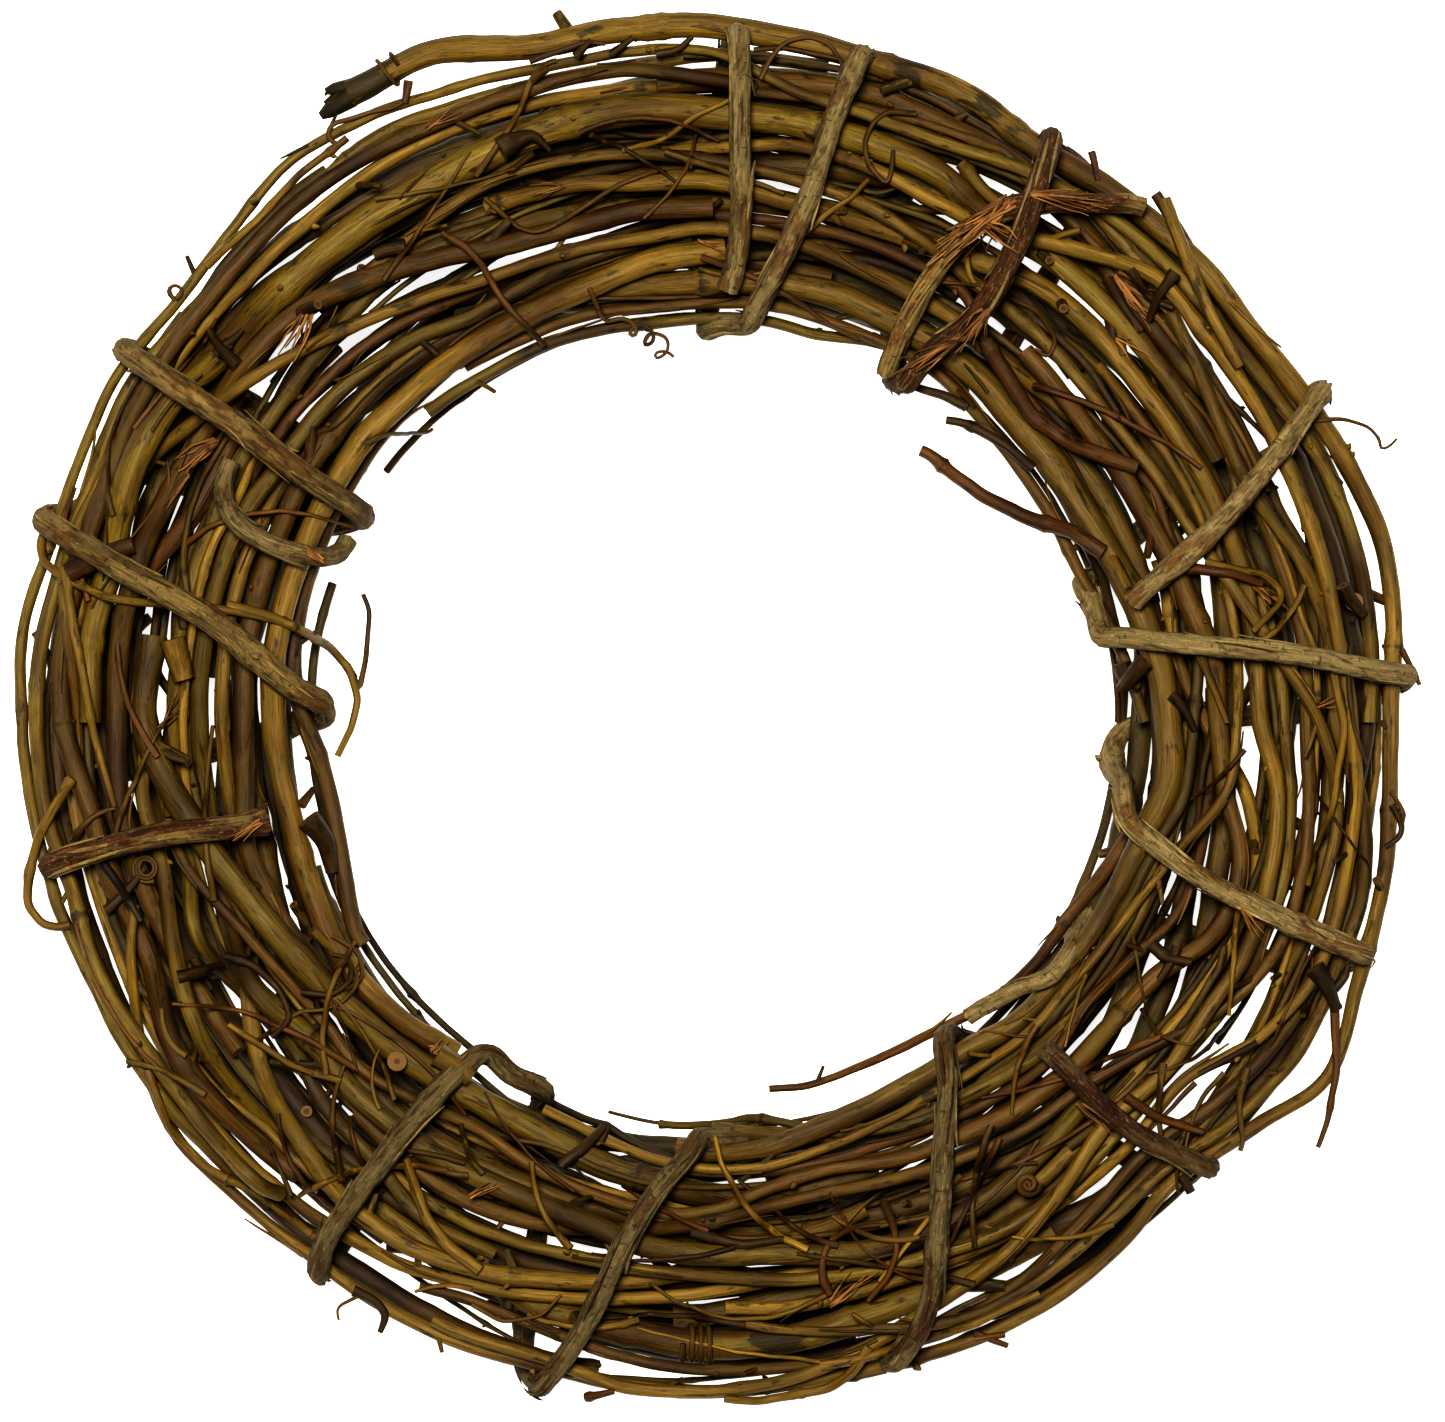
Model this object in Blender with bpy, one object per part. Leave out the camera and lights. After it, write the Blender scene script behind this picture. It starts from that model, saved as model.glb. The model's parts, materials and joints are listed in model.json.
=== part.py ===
"""Grapevine wreath: coiled canes in a ring, wound with thicker binder vines.

The wreath lies flat, front up. Places on the ring are given as a clock angle (degrees clockwise from
twelve o'clock, seen from the front) and a radius from the ring's centre in millimetres.
"""
import bpy
import bmesh
import math
import numpy as np
from mathutils import Vector

MM = 0.001

# Driving sizes, in millimetres and degrees
RING_CENTRE_X = -1.8
RING_CENTRE_Y = -4.6
RING_RADIUS = 120.0
BUNDLE_HALF_WIDTH = 35.0
BUNDLE_HALF_DEPTH = 13.0
LAYER_SHARE = 0.38
TOUCH_GAP = 0.5
BINDER_GAP = 0.6
STEP_ANGLE = 7.5
FINE_PER_STEP = 6
FINE_ANGLE = STEP_ANGLE / FINE_PER_STEP
FINE_PER_TURN = round(360 / FINE_ANGLE)
THICK_CANE = 5.4
CANE_TIP = 0.18
FREE_TIP = 0.2

# How the canes are spread until none overlap: rounds, how freely a traced cane and one underneath
# give way, and the shares of the rounds after which they move less sideways and settle
SPREAD_ROUNDS = 420
TRACED_GIVE = 0.35
UNDER_GIVE = 1.0
SIDEWAYS_UNTIL = 0.8
SMOOTH_UNTIL = 0.75
SPREAD_ENOUGH = 0.02

# Finishes: base colour, roughness
TONES = {
    "tan": ((0.33, 0.22, 0.085, 1), 0.62),
    "olive": ((0.24, 0.165, 0.062, 1), 0.62),
    "brown": ((0.16, 0.085, 0.04, 1), 0.66),
    "red": ((0.19, 0.07, 0.035, 1), 0.6),
    "bark": ((0.2, 0.145, 0.085, 1), 0.85),
    "dark bark": ((0.11, 0.05, 0.03, 1), 0.85),
}

# Canes that show on the front. Each has a tone, its diameter at some clock angles, and its route:
# clock angle, radius, and how many layers it lies below the top of the bundle (none given: on top).
CANES = {
    "cane_outer_1": ("tan", [(330, 6.0), (385, 5.5), (430, 4.2), (480, 3.2), (560, 3.2), (612, 2.2)], [
        (330, 160, .3), (332.5, 161, .2), (335, 160, .1), (337.5, 156.5, -.1), (341, 151, -.3),
        (344.5, 147.5, -.1), (350, 146), (358, 147), (365, 146.5), (375, 146), (380, 146.5),
        (385, 144.5), (390, 142.3), (395, 143), (405, 144), (412, 143.4), (418, 144.5), (423, 146.5),
        (430, 149.3), (437, 151.2), (444, 148.6), (452, 147), (463, 148.3), (470, 149.5),
        (474, 152), (478, 154), (481.5, 153.7), (484, 150.5), (487, 147), (490, 143.8), (494, 141.5),
        (502, 144.5), (507, 146), (517, 146.5), (525, 146, .6), (537, 146.5), (545, 147.7),
        (550, 145.8), (560, 146.7), (565, 147), (577, 145), (582, 144.5), (590, 148.3), (593, 148.3),
        (601, 142.5), (605, 138.5), (609, 134.5), (612, 132.4)]),
    "cane_outer_2": ("olive", [(222, 3.2), (300, 2.4), (360, 2.3), (400, 3.2), (450, 3.4)], [
        (222, 142), (235, 142), (245, 143.5), (250, 145), (256, 147.5), (267, 149.5), (276.5, 152.2),
        (280, 150.3), (290, 149.8), (300, 150.5), (303, 149), (313, 149.5), (320, 153.5),
        (325, 154.3), (330, 152.5), (340, 149), (350, 148.5), (360, 147.5), (363, 144.5),
        (368, 138.5), (372, 136), (378, 136), (385, 136.8), (390, 138.5), (396, 140.5, .5),
        (402, 141.5), (412, 141), (420, 143), (425, 145), (435, 146), (443, 145.5, .7), (450, 144.5, 1)]),
    "cane_outer_3": ("tan", [(395, 3.0), (450, 3.5), (500, 2.6), (540, 2.1)], [
        (395, 139.5, 1), (403, 138.5, .7), (410, 136), (415, 131.5), (418, 129.8), (426, 129),
        (430, 130.5), (434, 134), (438, 137.5), (443, 137.8, .5), (450, 137.8), (453, 139.8),
        (456, 142.5), (459, 145.7), (462, 147.8), (466, 148.7, .4), (474, 148, .5), (480, 147.5, .4),
        (487, 144.5, .3), (491, 142), (495, 139), (505, 139), (513, 141.2), (517, 140), (525, 136),
        (530, 134.3), (535, 132), (540, 129.5)]),
    "cane_outer_4": ("olive", [(222, 3.4), (300, 3.4), (370, 2.8)], [
        (222, 139.5), (232, 141), (241, 141), (252, 142), (260, 144.5), (267, 146.5), (280, 145.3),
        (290, 145.3, .6), (300, 146.7), (303, 147), (308, 145), (312, 144), (322, 146), (330, 148.3),
        (335, 148), (345, 146.3), (353, 145.7, .3), (361, 144.5, 1), (370, 143.5, 1.3)]),
    "cane_outer_5": ("brown", [(222, 5.0), (280, 4.4), (330, 3.2), (365, 3.0)], [
        (222, 134.5, 1), (230, 134), (240, 135), (248, 134.5), (253, 133.8, .6), (258, 134.5),
        (262, 136), (266, 138), (270, 141), (274, 143.5), (283, 142), (290, 142), (300, 141.5),
        (310, 142.5), (317, 144, .3), (324, 145, .6), (330, 144.3), (340, 143.5), (350, 145),
        (353, 143.5), (358.5, 141), (364, 139.5, 1)]),
    "cane_outer_6": ("brown", [(355, 5.2), (390, 5.2), (425, 4.0), (480, 2.4), (540, 3.0), (583, 3.8)], [
        (355, 140.5, 1.2), (365, 142, 1), (375, 143, .7), (380, 141.5, .4), (390, 139, .4),
        (396, 136.5, .8), (402, 132.5, .4), (410, 131.5), (420, 132.5), (425, 131.5), (430, 129.3, .6),
        (440, 131.5), (452, 131), (460, 132.5, .7), (468, 133.5, .7), (475, 132), (479, 129.5),
        (482, 125), (487, 120.8), (490, 118.3), (496, 116.5), (505, 113), (513, 109.3), (520, 106.3),
        (530, 106), (535, 107), (540, 108.5), (546, 111, .8), (553, 115, .6), (560, 117.5, .5),
        (570, 120, .5), (583, 117, 1.2)]),
    "cane_outer_7": ("brown", [(400, 2.6), (440, 3.4), (500, 3.0), (567, 2.4)], [
        (400, 151.7), (403, 149.5), (407, 146.5), (412, 145), (417, 145.2), (424, 147, .7),
        (430, 146.5, 1), (440, 147, 1), (452, 145, 1), (462, 143.5, 1.2), (474, 145, 1), (485, 140, .8),
        (495, 133.5, .4), (500, 134.5), (505, 136.8), (509, 139), (515, 141.5, .5), (522, 143, .6),
        (530, 143, .6), (537, 142), (547, 139.3), (554, 137), (558, 135.5), (561, 135.5),
        (564, 137), (567, 138.5)]),
    "cane_outer_8": ("olive", [(146, 5.0), (172, 6.5), (192, 6.3), (215, 4.6), (270, 3.0)], [
        (146, 133, 1.3), (155, 134.5, 1), (162, 136, .5), (168, 136), (175, 136.5), (185, 135),
        (191, 134), (197, 132.5, .8), (205, 130.5, 1.2), (215, 129.5, 1.3), (225, 129.5, 1),
        (235, 129, .7), (244, 129.5), (248, 128), (252, 126), (258, 123), (263, 121, .8),
        (270, 118.5, 1.2)]),
    "cane_outer_9": ("tan", [(166, 3.0), (240, 2.7), (340, 3.1), (362, 2.8)], [
        (166, 122.5, 1.2), (170, 123.5, 1), (177, 126), (187, 128.5), (195, 131.5), (203, 133.5),
        (208, 136), (215, 138.3), (222, 138), (235, 138.5), (243, 139, .7), (252, 139.3, 1),
        (262, 140.5, 1), (272, 138.8, .9), (280, 140, .9), (292, 140, .7), (304, 138.5, .6),
        (312, 140.5), (325, 142), (330, 142.5), (345, 141.3), (353, 140.5, .9), (362, 141.5, 1.3)]),
    "cane_middle_1": ("tan", [(276, 3.2), (330, 2.8), (380, 3.5), (410, 3.2)], [
        (276, 137.5, 1), (283, 138.5, .6), (290, 138.5), (294, 137.5), (297, 135.5), (300, 132.5),
        (303, 130), (307, 126.5), (311, 122.5), (315, 119.5), (322, 114.5), (328, 111), (334, 108.7),
        (340, 107.3), (346, 107), (352, 105.8), (362, 104.8), (375, 103.8), (380, 102.8), (390, 102),
        (395, 100.5), (402, 100, 1), (410, 100.5, 1.6)]),
    "cane_middle_2": ("red", [(296, 2.8), (360, 2.6), (440, 2.2)], [
        (296, 114.5, 1), (303, 113.5), (313, 112), (318, 111), (328, 107.5, .3), (335, 106, .5),
        (343, 105.3, .6), (352, 107.5, .6), (360, 108.5), (370, 108), (375, 109.5), (385, 109.5),
        (390, 108.5), (393, 105.5), (396, 102), (400, 99), (410, 99), (415, 101.5), (417, 104.5),
        (419, 107.8), (426, 108.5), (434, 108.5, 1), (440, 108, 1.4)]),
    "cane_middle_3": ("tan", [(316, 2.6), (380, 3.0), (450, 2.9), (505, 2.6)], [
        (316, 123.5, 1), (324, 123.5), (330, 124.5), (335, 126.3), (340, 127), (345, 126.5),
        (350, 125.3), (355, 124), (361, 121.5), (370, 118), (375, 116.5), (380, 115), (385, 112.5),
        (391, 110.7, .8), (398, 109.5, .8), (413, 108.5, .3), (420, 110), (425, 111.3), (428, 112.2),
        (432, 114), (435, 116.5), (438, 118.8), (441, 121.5), (444, 124.5), (448, 129), (452, 133.5),
        (456, 137), (460, 138.8), (465, 138.5), (474, 138, 1), (485, 139, .6), (497, 138, .7),
        (505, 139.5, 1.3)]),
    "cane_middle_4": ("brown", [(235, 4.2), (290, 4.8), (360, 4.5)], [
        (235, 124), (240, 126), (245, 127), (252, 130, .8), (258, 132, .8), (267, 132.5), (280, 132),
        (286, 131.3), (296, 131.3), (303, 131.3, .6), (309, 130.2, .4), (315, 128), (320, 124.5),
        (325, 121), (330, 117.5), (335, 114.2), (340, 111.8), (350, 110.8), (360, 111.2)]),
    "cane_middle_5": ("olive", [(203, 3.0), (270, 4.0), (340, 4.0), (372, 3.4)], [
        (203, 129.5, 1), (210, 127.5), (214, 124.5), (218, 122.5), (227, 121.5), (233, 121.8),
        (242, 121, .6), (250, 119.5, .8), (260, 117.6, .5), (267, 117), (290, 116.5), (300, 116),
        (312, 117), (319, 120, .6), (326, 121.3), (330, 121), (335, 119.5), (340, 117), (345, 115.5),
        (352, 113.5, .8), (362, 113, 1), (372, 115, 1.3)]),
    "cane_middle_6": ("tan", [(336, 3.5), (400, 4.6), (440, 4.0), (480, 3.5), (565, 2.6)], [
        (336, 124.5, 1), (344, 122), (348, 119.5), (352, 117.5), (357, 116), (365, 113.8), (370, 113.5),
        (380, 114, 1), (390, 117, 1), (397, 119.8, .6), (402, 120), (410, 118.5), (420, 118),
        (430, 119), (440, 118.8), (446, 116.8, .3), (450, 118.5), (455, 122), (458, 124), (462, 125),
        (468, 126), (472, 126.3), (480, 124.5), (488, 124), (495, 122), (500, 124), (505, 127.5),
        (510, 130.3), (515, 131.8), (520, 133.5), (523, 135.2), (527, 138.5), (530, 140.3),
        (535, 142.5), (540, 144), (545, 146, .4), (554, 143.8, .3), (565, 145)]),
    "cane_middle_7": ("olive", [(270, 5.2), (305, 7.0), (350, 7.5), (380, 6.0), (423, 3.6)], [
        (270, 136, .6), (278, 137.2, .4), (283, 136), (290, 135), (300, 134), (306, 133.5, .4),
        (312, 133), (328, 132.5), (333, 132.8), (338, 133.5), (342, 135), (346, 137), (350, 138.5),
        (356, 138), (362, 136, .5), (370, 133.3, .7), (378, 131.5), (383, 129.5), (385, 127.5),
        (389, 125.3, .4), (394, 123.8, .3), (397, 124.5), (402, 124), (410, 123.5), (415, 124.5),
        (423, 125)]),
    "cane_middle_8": ("tan", [(355, 2.6), (400, 3.6), (440, 3.5), (480, 2.6), (539, 3.0)], [
        (355, 125.5, 1), (360, 126, .6), (365, 128), (370, 128), (375, 127), (380, 124.8), (385, 124),
        (390, 124.5, .5), (394, 126), (397, 129.5), (400, 133), (403, 135.5), (407, 137.8),
        (415, 139.5), (420, 140.2), (425, 139.5), (430, 138.2), (438, 138), (448, 138.5), (452, 139.5),
        (456, 141, .6), (464, 142.3, .6), (471, 143), (475, 142.5), (478, 140), (481, 136.5),
        (483, 133), (485, 130.5), (489, 129.5), (495, 130), (502, 130, .7), (510, 128.5, .9),
        (518, 126.5, .5), (525, 125.8), (530, 127.2), (535, 129), (539, 128.7)]),
    "cane_middle_9": ("olive", [(133, 4.4), (160, 5.0), (230, 5.0), (280, 4.2), (356, 3.0)], [
        (133, 115, 1), (141, 117), (147, 120), (156, 123), (165, 121.5), (168, 120), (171, 118),
        (174, 115), (178, 113), (182, 111), (190, 109.5), (200, 109.7), (215, 111), (233, 111),
        (240, 113), (248, 113.5, .7), (256, 112, .9), (262, 112.2, .5), (267, 112.3), (286, 111.5),
        (303, 111), (313, 110), (318, 108.3), (322, 107), (326, 104.8), (330, 103.5), (340, 104, .3),
        (347, 104, .9), (356, 104.5, 1.3)]),
    "cane_middle_10": ("brown", [(40, 4.0), (75, 5.0), (105, 3.8), (140, 4.8), (165, 3.0), (265, 2.2)], [
        (40, 105, 1.2), (50, 103.5, 1), (62, 104), (70, 106), (75, 107.5), (80, 109.5), (84, 111.5),
        (90, 112, .4), (95, 112.5), (100, 115.5), (103, 118), (106, 119), (110, 119.3), (113, 118.3),
        (117, 114), (121, 111, .5), (125, 109.5), (135, 108), (145, 107), (150, 105.5), (157, 105),
        (165, 102), (170, 102.2), (175, 103.5), (180, 105), (185, 106), (195, 105.5), (200, 105),
        (203, 103.5), (207, 101.5), (215, 103.5), (222, 107), (228, 109, .4), (235, 107.5, .4),
        (241, 110.5), (246, 114), (251, 117), (258, 120, 1), (265, 122.5, 1.4)]),
    "cane_middle_11": ("tan", [(48, 2.6), (100, 2.2), (204, 2.3)], [
        (48, 115.5, 1), (55, 116.3), (66, 117), (75, 117, .5), (83.5, 116), (87, 114.5), (92, 113.3),
        (97, 113.2), (100, 111), (103, 108), (106, 105), (109, 103.5), (113, 100.7), (118, 99),
        (122, 97), (126, 96.2), (134, 96), (145, 96.3, .7), (155, 97), (162, 97), (172, 98.3),
        (183, 98.5), (188, 97.5), (198, 95.3), (204, 94.3)]),
    "cane_middle_12": ("tan", [(70, 2.8), (100, 3.1), (146, 3.6)], [
        (70, 102.5, 1), (78, 103, .7), (83, 103.3, .4), (87, 105), (91, 109.5), (95, 114.5),
        (98, 118.5), (101, 121.5), (105, 123.5, .7), (112, 123.5, 1), (120, 122, 1), (128, 120.5, .8),
        (137, 121.5, .7), (146, 123.5, .2)]),
    "cane_middle_13": ("olive", [(62, 3.0), (150, 3.2), (226, 2.6)], [
        (62, 121.5, 1.3), (72, 122.5, 1), (80, 124.5, .6), (87, 126), (95, 128.2), (100, 130),
        (108, 131.5), (116, 130.5, .8), (125, 127, .9), (135, 126), (140, 127), (150, 127), (155, 126),
        (160, 125), (168, 124.5), (177, 122.3), (184, 122.5), (190, 124), (197, 123.5), (203, 124.3),
        (210, 123), (218, 120.5, 1), (226, 119, 1.3)]),
    "cane_middle_14": ("red", [(86, 2.6), (150, 2.5), (196, 2.6)], [
        (86, 108, 1.2), (95, 109, 1), (103, 110.5, .6), (110, 110.3), (114, 110.3), (117, 108),
        (120, 105.5), (123, 103.5), (128, 103, .6), (135, 105), (140, 104), (145, 102.5), (150, 100.5),
        (155, 99.3), (170, 99.8), (178, 100.5, .7), (186, 100, 1), (196, 102, 1.3)]),
    "cane_middle_15": ("tan", [(162, 3.6), (225, 4.2), (280, 3.2), (320, 3.0)], [
        (162, 112, 1.3), (170, 113.5, 1), (177, 116), (182, 118.5), (187, 121), (195, 125), (198, 127),
        (202, 128.5), (206, 131), (210, 132.8), (219, 136), (222, 136.8), (226, 135.5), (230, 133),
        (233, 129.8), (236, 126), (239, 122.5), (241, 120.5), (244, 115), (249, 111, .6),
        (256, 109, .8), (262, 108, .5), (267, 108), (280, 108.5), (290, 108), (300, 107.5, .7),
        (310, 106, .8), (320, 104, 1.3)]),
    "cane_middle_16": ("red", [(280, 3.6), (290, 4.4), (302, 4.6)], [
        (280, 134.5, 1.4), (287, 132, .4), (291, 128.5), (295, 127.8), (302, 127.5)]),
    "cane_inner_1": ("tan", [(344, 5.2), (410, 6.4), (460, 6.2), (477, 4.2), (520, 5.0), (545, 4.0)], [
        (344, 97.5, 1.4), (352, 97.8, 1), (358, 98, .5), (370, 98.3), (380, 97.2), (385, 97),
        (395, 97.8), (400, 96.5), (410, 96), (420, 95.7), (430, 97), (440, 99.5), (445, 100),
        (452, 101.5), (457, 102.3), (462, 101.5), (466, 99), (477, 98), (484, 97.5, .6), (494, 98, .8),
        (500, 95.5, .5), (507, 94), (515, 93.2), (525, 94.3), (534, 96), (545, 97.5, 1)]),
    "cane_inner_2": ("tan", [(218, 4.6), (250, 5.3), (360, 5.3)], [
        (218, 93), (222, 94.5), (228, 96.6), (237, 98), (245, 96.8), (255, 96), (265, 97), (272, 98.5),
        (277, 99.5), (290, 100), (303, 100), (313, 99), (328, 98), (340, 97.5), (345, 97.8), (350, 99),
        (358, 101), (361, 102.5)]),
    "cane_inner_3": ("olive", [(160, 4.8), (200, 6.2), (250, 6.2), (279, 5.6)], [
        (160, 104, 1.5), (172, 105, 1.2), (181, 105.5, .7), (188, 103), (193, 101), (198, 99.3),
        (205, 98.5), (215, 98.5), (225, 100.5), (230, 101.5), (235, 103.5), (240, 105.5), (245, 107.8),
        (250, 110.3), (255, 112.7), (260, 115.8), (265, 119.5), (270, 122.5), (275, 122.5),
        (279, 121.5)]),
    "cane_inner_4": ("brown", [(325, 2.4), (400, 2.6), (425, 2.8), (450, 2.4)], [
        (325, 95, .8), (333, 94), (345, 94.5), (356, 95, .5), (364, 95.3, .5), (370, 94.5), (375, 93.5),
        (384, 93), (393, 92), (400, 90.5), (407, 88.5), (418, 87.5), (423, 88), (428, 87.6),
        (434, 89.5, .7), (442, 92, 1), (450, 95, 1.2)]),
    "cane_inner_5": ("olive", [(318, 2.8), (350, 2.5), (398, 2.4)], [
        (318, 94, .8), (328, 92.5), (335, 92.5), (345, 91.5), (355, 91), (359, 91.3), (367, 90.5),
        (370, 89.3), (375, 89.5), (380, 91.5), (386, 92, .6), (391, 94, 1), (398, 94, 1.3)]),
    "cane_inner_6": ("olive", [(90, 3.4), (135, 3.8), (180, 3.2)], [
        (90, 105, 1.2), (100, 104, .8), (108, 102.5), (117, 102.3), (126, 101.5, .4), (135, 101.5),
        (145, 98.5), (152, 97.3, .4), (160, 96.5, .8), (170, 94, 1), (180, 93.5, 1.3)]),
    "cane_inner_7": ("brown", [(228, 3.0), (270, 4.8), (320, 4.6), (375, 4.0)], [
        (228, 99, 1), (238, 100.5), (243, 102.5), (247, 104), (251, 105.8), (255, 106), (261, 105, .4),
        (267, 104), (280, 103.5), (290, 103), (300, 104), (308, 104.5, .7), (316, 103.5, .8),
        (326, 101.5, 1), (338, 101, 1), (350, 103, 1), (362, 101.5, 1.2), (375, 101, 1.4)]),
    "cane_inner_8": ("brown", [(238, 3.8), (260, 4.0), (324, 3.4)], [
        (238, 93.5), (243, 91), (248, 88.8), (253, 87.3), (258, 86.8), (263, 87.3), (268, 88.5),
        (272, 91), (278, 93.3, .5), (288, 94.3, .8), (300, 95, 1), (312, 95.3, 1), (324, 96, 1.3)]),
    "cane_inner_9": ("red", [(104, 3.4), (130, 2.6), (150, 2.1), (171, 1.6)], [
        (104, 99, 3), (112, 96.5, 3.5), (120, 94, 4), (130, 91, 5), (135, 89.5, 6), (140, 87, 6.6),
        (145, 85.5, 6.6), (150, 84.2, 5), (160, 83, 3), (165, 83, 2.5), (171, 81.8, 2.5)]),
}

# From this clock angle on, a cane has left the bundle, and the binders pass it by
LOOSE_FROM = {"cane_inner_9": 133}

# Canes underneath, by rule: how many, their turns, diameters and waviness
UNDER_COUNT = 6
UNDER_TURNS = 1.6
UNDER_THIN = 4.6
UNDER_THICK = 5.8
UNDER_INNER = 97.0
UNDER_OUTER = 143.0
UNDER_TOP_LEVEL = 0.25
UNDER_BOTTOM_LEVEL = -1.0
UNDER_WAVE = 6.0
UNDER_RIPPLE = 2.5
UNDER_EDGE_WAVE = 3.0
UNDER_DRIFT = 26.0
UNDER_LEVEL_WAVE = 0.22
UNDER_SEED = 11
GOLDEN_ANGLE = 137.5
GOLDEN_SHARE = 0.618


def level_below_top(layer):
    """Height share for a cane that lies some layers below the top: 1 is the crown, -1 the back."""
    return 1 - LAYER_SHARE * layer


def bundle_height(radius, level):
    """Height above the middle of the bundle at this radius, for a height share."""
    across = np.clip(abs(radius - RING_RADIUS) / BUNDLE_HALF_WIDTH, 0, 0.9)
    return BUNDLE_HALF_DEPTH * level * np.sqrt(1 - across ** 2)


def smooth_through(angles, values, at):
    """Values of a smooth curve through the given points, without overshoot."""
    angles = np.asarray(angles, float)
    values = np.asarray(values, float)
    widths = np.diff(angles)
    slopes = np.diff(values) / widths
    tangents = np.zeros(len(values))
    for i in range(1, len(values) - 1):
        if slopes[i - 1] * slopes[i] > 0:
            share = widths[i] / (widths[i - 1] + widths[i])
            tangents[i] = share * slopes[i - 1] + (1 - share) * slopes[i]
    tangents[0] = slopes[0]
    tangents[-1] = slopes[-1]
    k = np.clip(np.searchsorted(angles, at, side="right") - 1, 0, len(widths) - 1)
    t = np.clip((at - angles[k]) / widths[k], 0, 1)
    rise = values[k] * (2 * t ** 3 - 3 * t ** 2 + 1) + values[k + 1] * (3 * t ** 2 - 2 * t ** 3)
    lean = tangents[k] * (t ** 3 - 2 * t ** 2 + t) + tangents[k + 1] * (t ** 3 - t ** 2)
    return rise + lean * widths[k]


class Cane:
    """One coiled cane: rings of its centreline at whole steps of the clock angle and at both ends."""

    def __init__(self, name, tone, start, end, held):
        self.name = name
        self.tone = tone
        self.held = held
        first = round(start / FINE_ANGLE)
        last = round(end / FINE_ANGLE)
        inside = [k for k in range(first + 2, last - 1) if k % FINE_PER_STEP == 0]
        self.fine = np.array([first] + inside + [last])
        self.angle = self.fine * FINE_ANGLE

    def set_route(self, radius, height, diameter):
        self.radius = np.array(radius, float)
        self.height = np.array(height, float)
        self.diameter = np.array(diameter, float)


def traced_canes():
    canes = []
    for name, (tone, thickness, route) in CANES.items():
        angles = [knot[0] for knot in route]
        radii = [knot[1] for knot in route]
        layers = [knot[2] if len(knot) > 2 else 0 for knot in route]
        cane = Cane(name, tone, angles[0], angles[-1], held=True)
        radius = smooth_through(angles, radii, cane.angle)
        layer = smooth_through(angles, layers, cane.angle)
        diameter = np.interp(cane.angle, [a for a, d in thickness], [d for a, d in thickness])
        cane.set_route(radius, bundle_height(radius, level_below_top(layer)), diameter)
        canes.append(cane)
    return canes


def under_canes():
    draw = np.random.default_rng(UNDER_SEED)
    canes = []
    tones = ("olive", "brown", "tan")
    for i in range(UNDER_COUNT):
        share = (i + 0.5) / UNDER_COUNT
        start = round(i * GOLDEN_ANGLE % 360)
        cane = Cane(f"cane_under_{i + 1}", tones[i % 3], start, start + 360 * UNDER_TURNS, held=False)
        middle = UNDER_INNER + (UNDER_OUTER - UNDER_INNER) * ((i * GOLDEN_SHARE + 0.3) % 1)
        turn = np.radians(cane.angle)
        phase = draw.uniform(0, 2 * math.pi, 3)
        drift = (turn - turn[0]) / (turn[-1] - turn[0]) - 0.5
        ripple = UNDER_RIPPLE * np.sin(4.1 * turn + phase[1])
        radius = middle + UNDER_WAVE * np.sin(1.7 * turn + phase[0]) + ripple
        radius = radius + drift * draw.choice((-1, 1)) * UNDER_DRIFT
        low = UNDER_INNER + UNDER_EDGE_WAVE * np.sin(turn + phase[2])
        high = UNDER_OUTER + UNDER_EDGE_WAVE * np.sin(turn + phase[2])
        radius = low + (high - low) * (0.5 - 0.5 * np.cos(np.pi * (radius - low) / (high - low)))
        level = UNDER_BOTTOM_LEVEL + (UNDER_TOP_LEVEL - UNDER_BOTTOM_LEVEL) * share
        level = level + UNDER_LEVEL_WAVE * np.sin(2.3 * turn + phase[1])
        diameter = UNDER_THIN + (UNDER_THICK - UNDER_THIN) * (0.5 + 0.5 * np.cos(turn * 0.6 + phase[0]))
        cane.set_route(radius, bundle_height(radius, level), diameter)
        canes.append(cane)
    return canes


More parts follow.
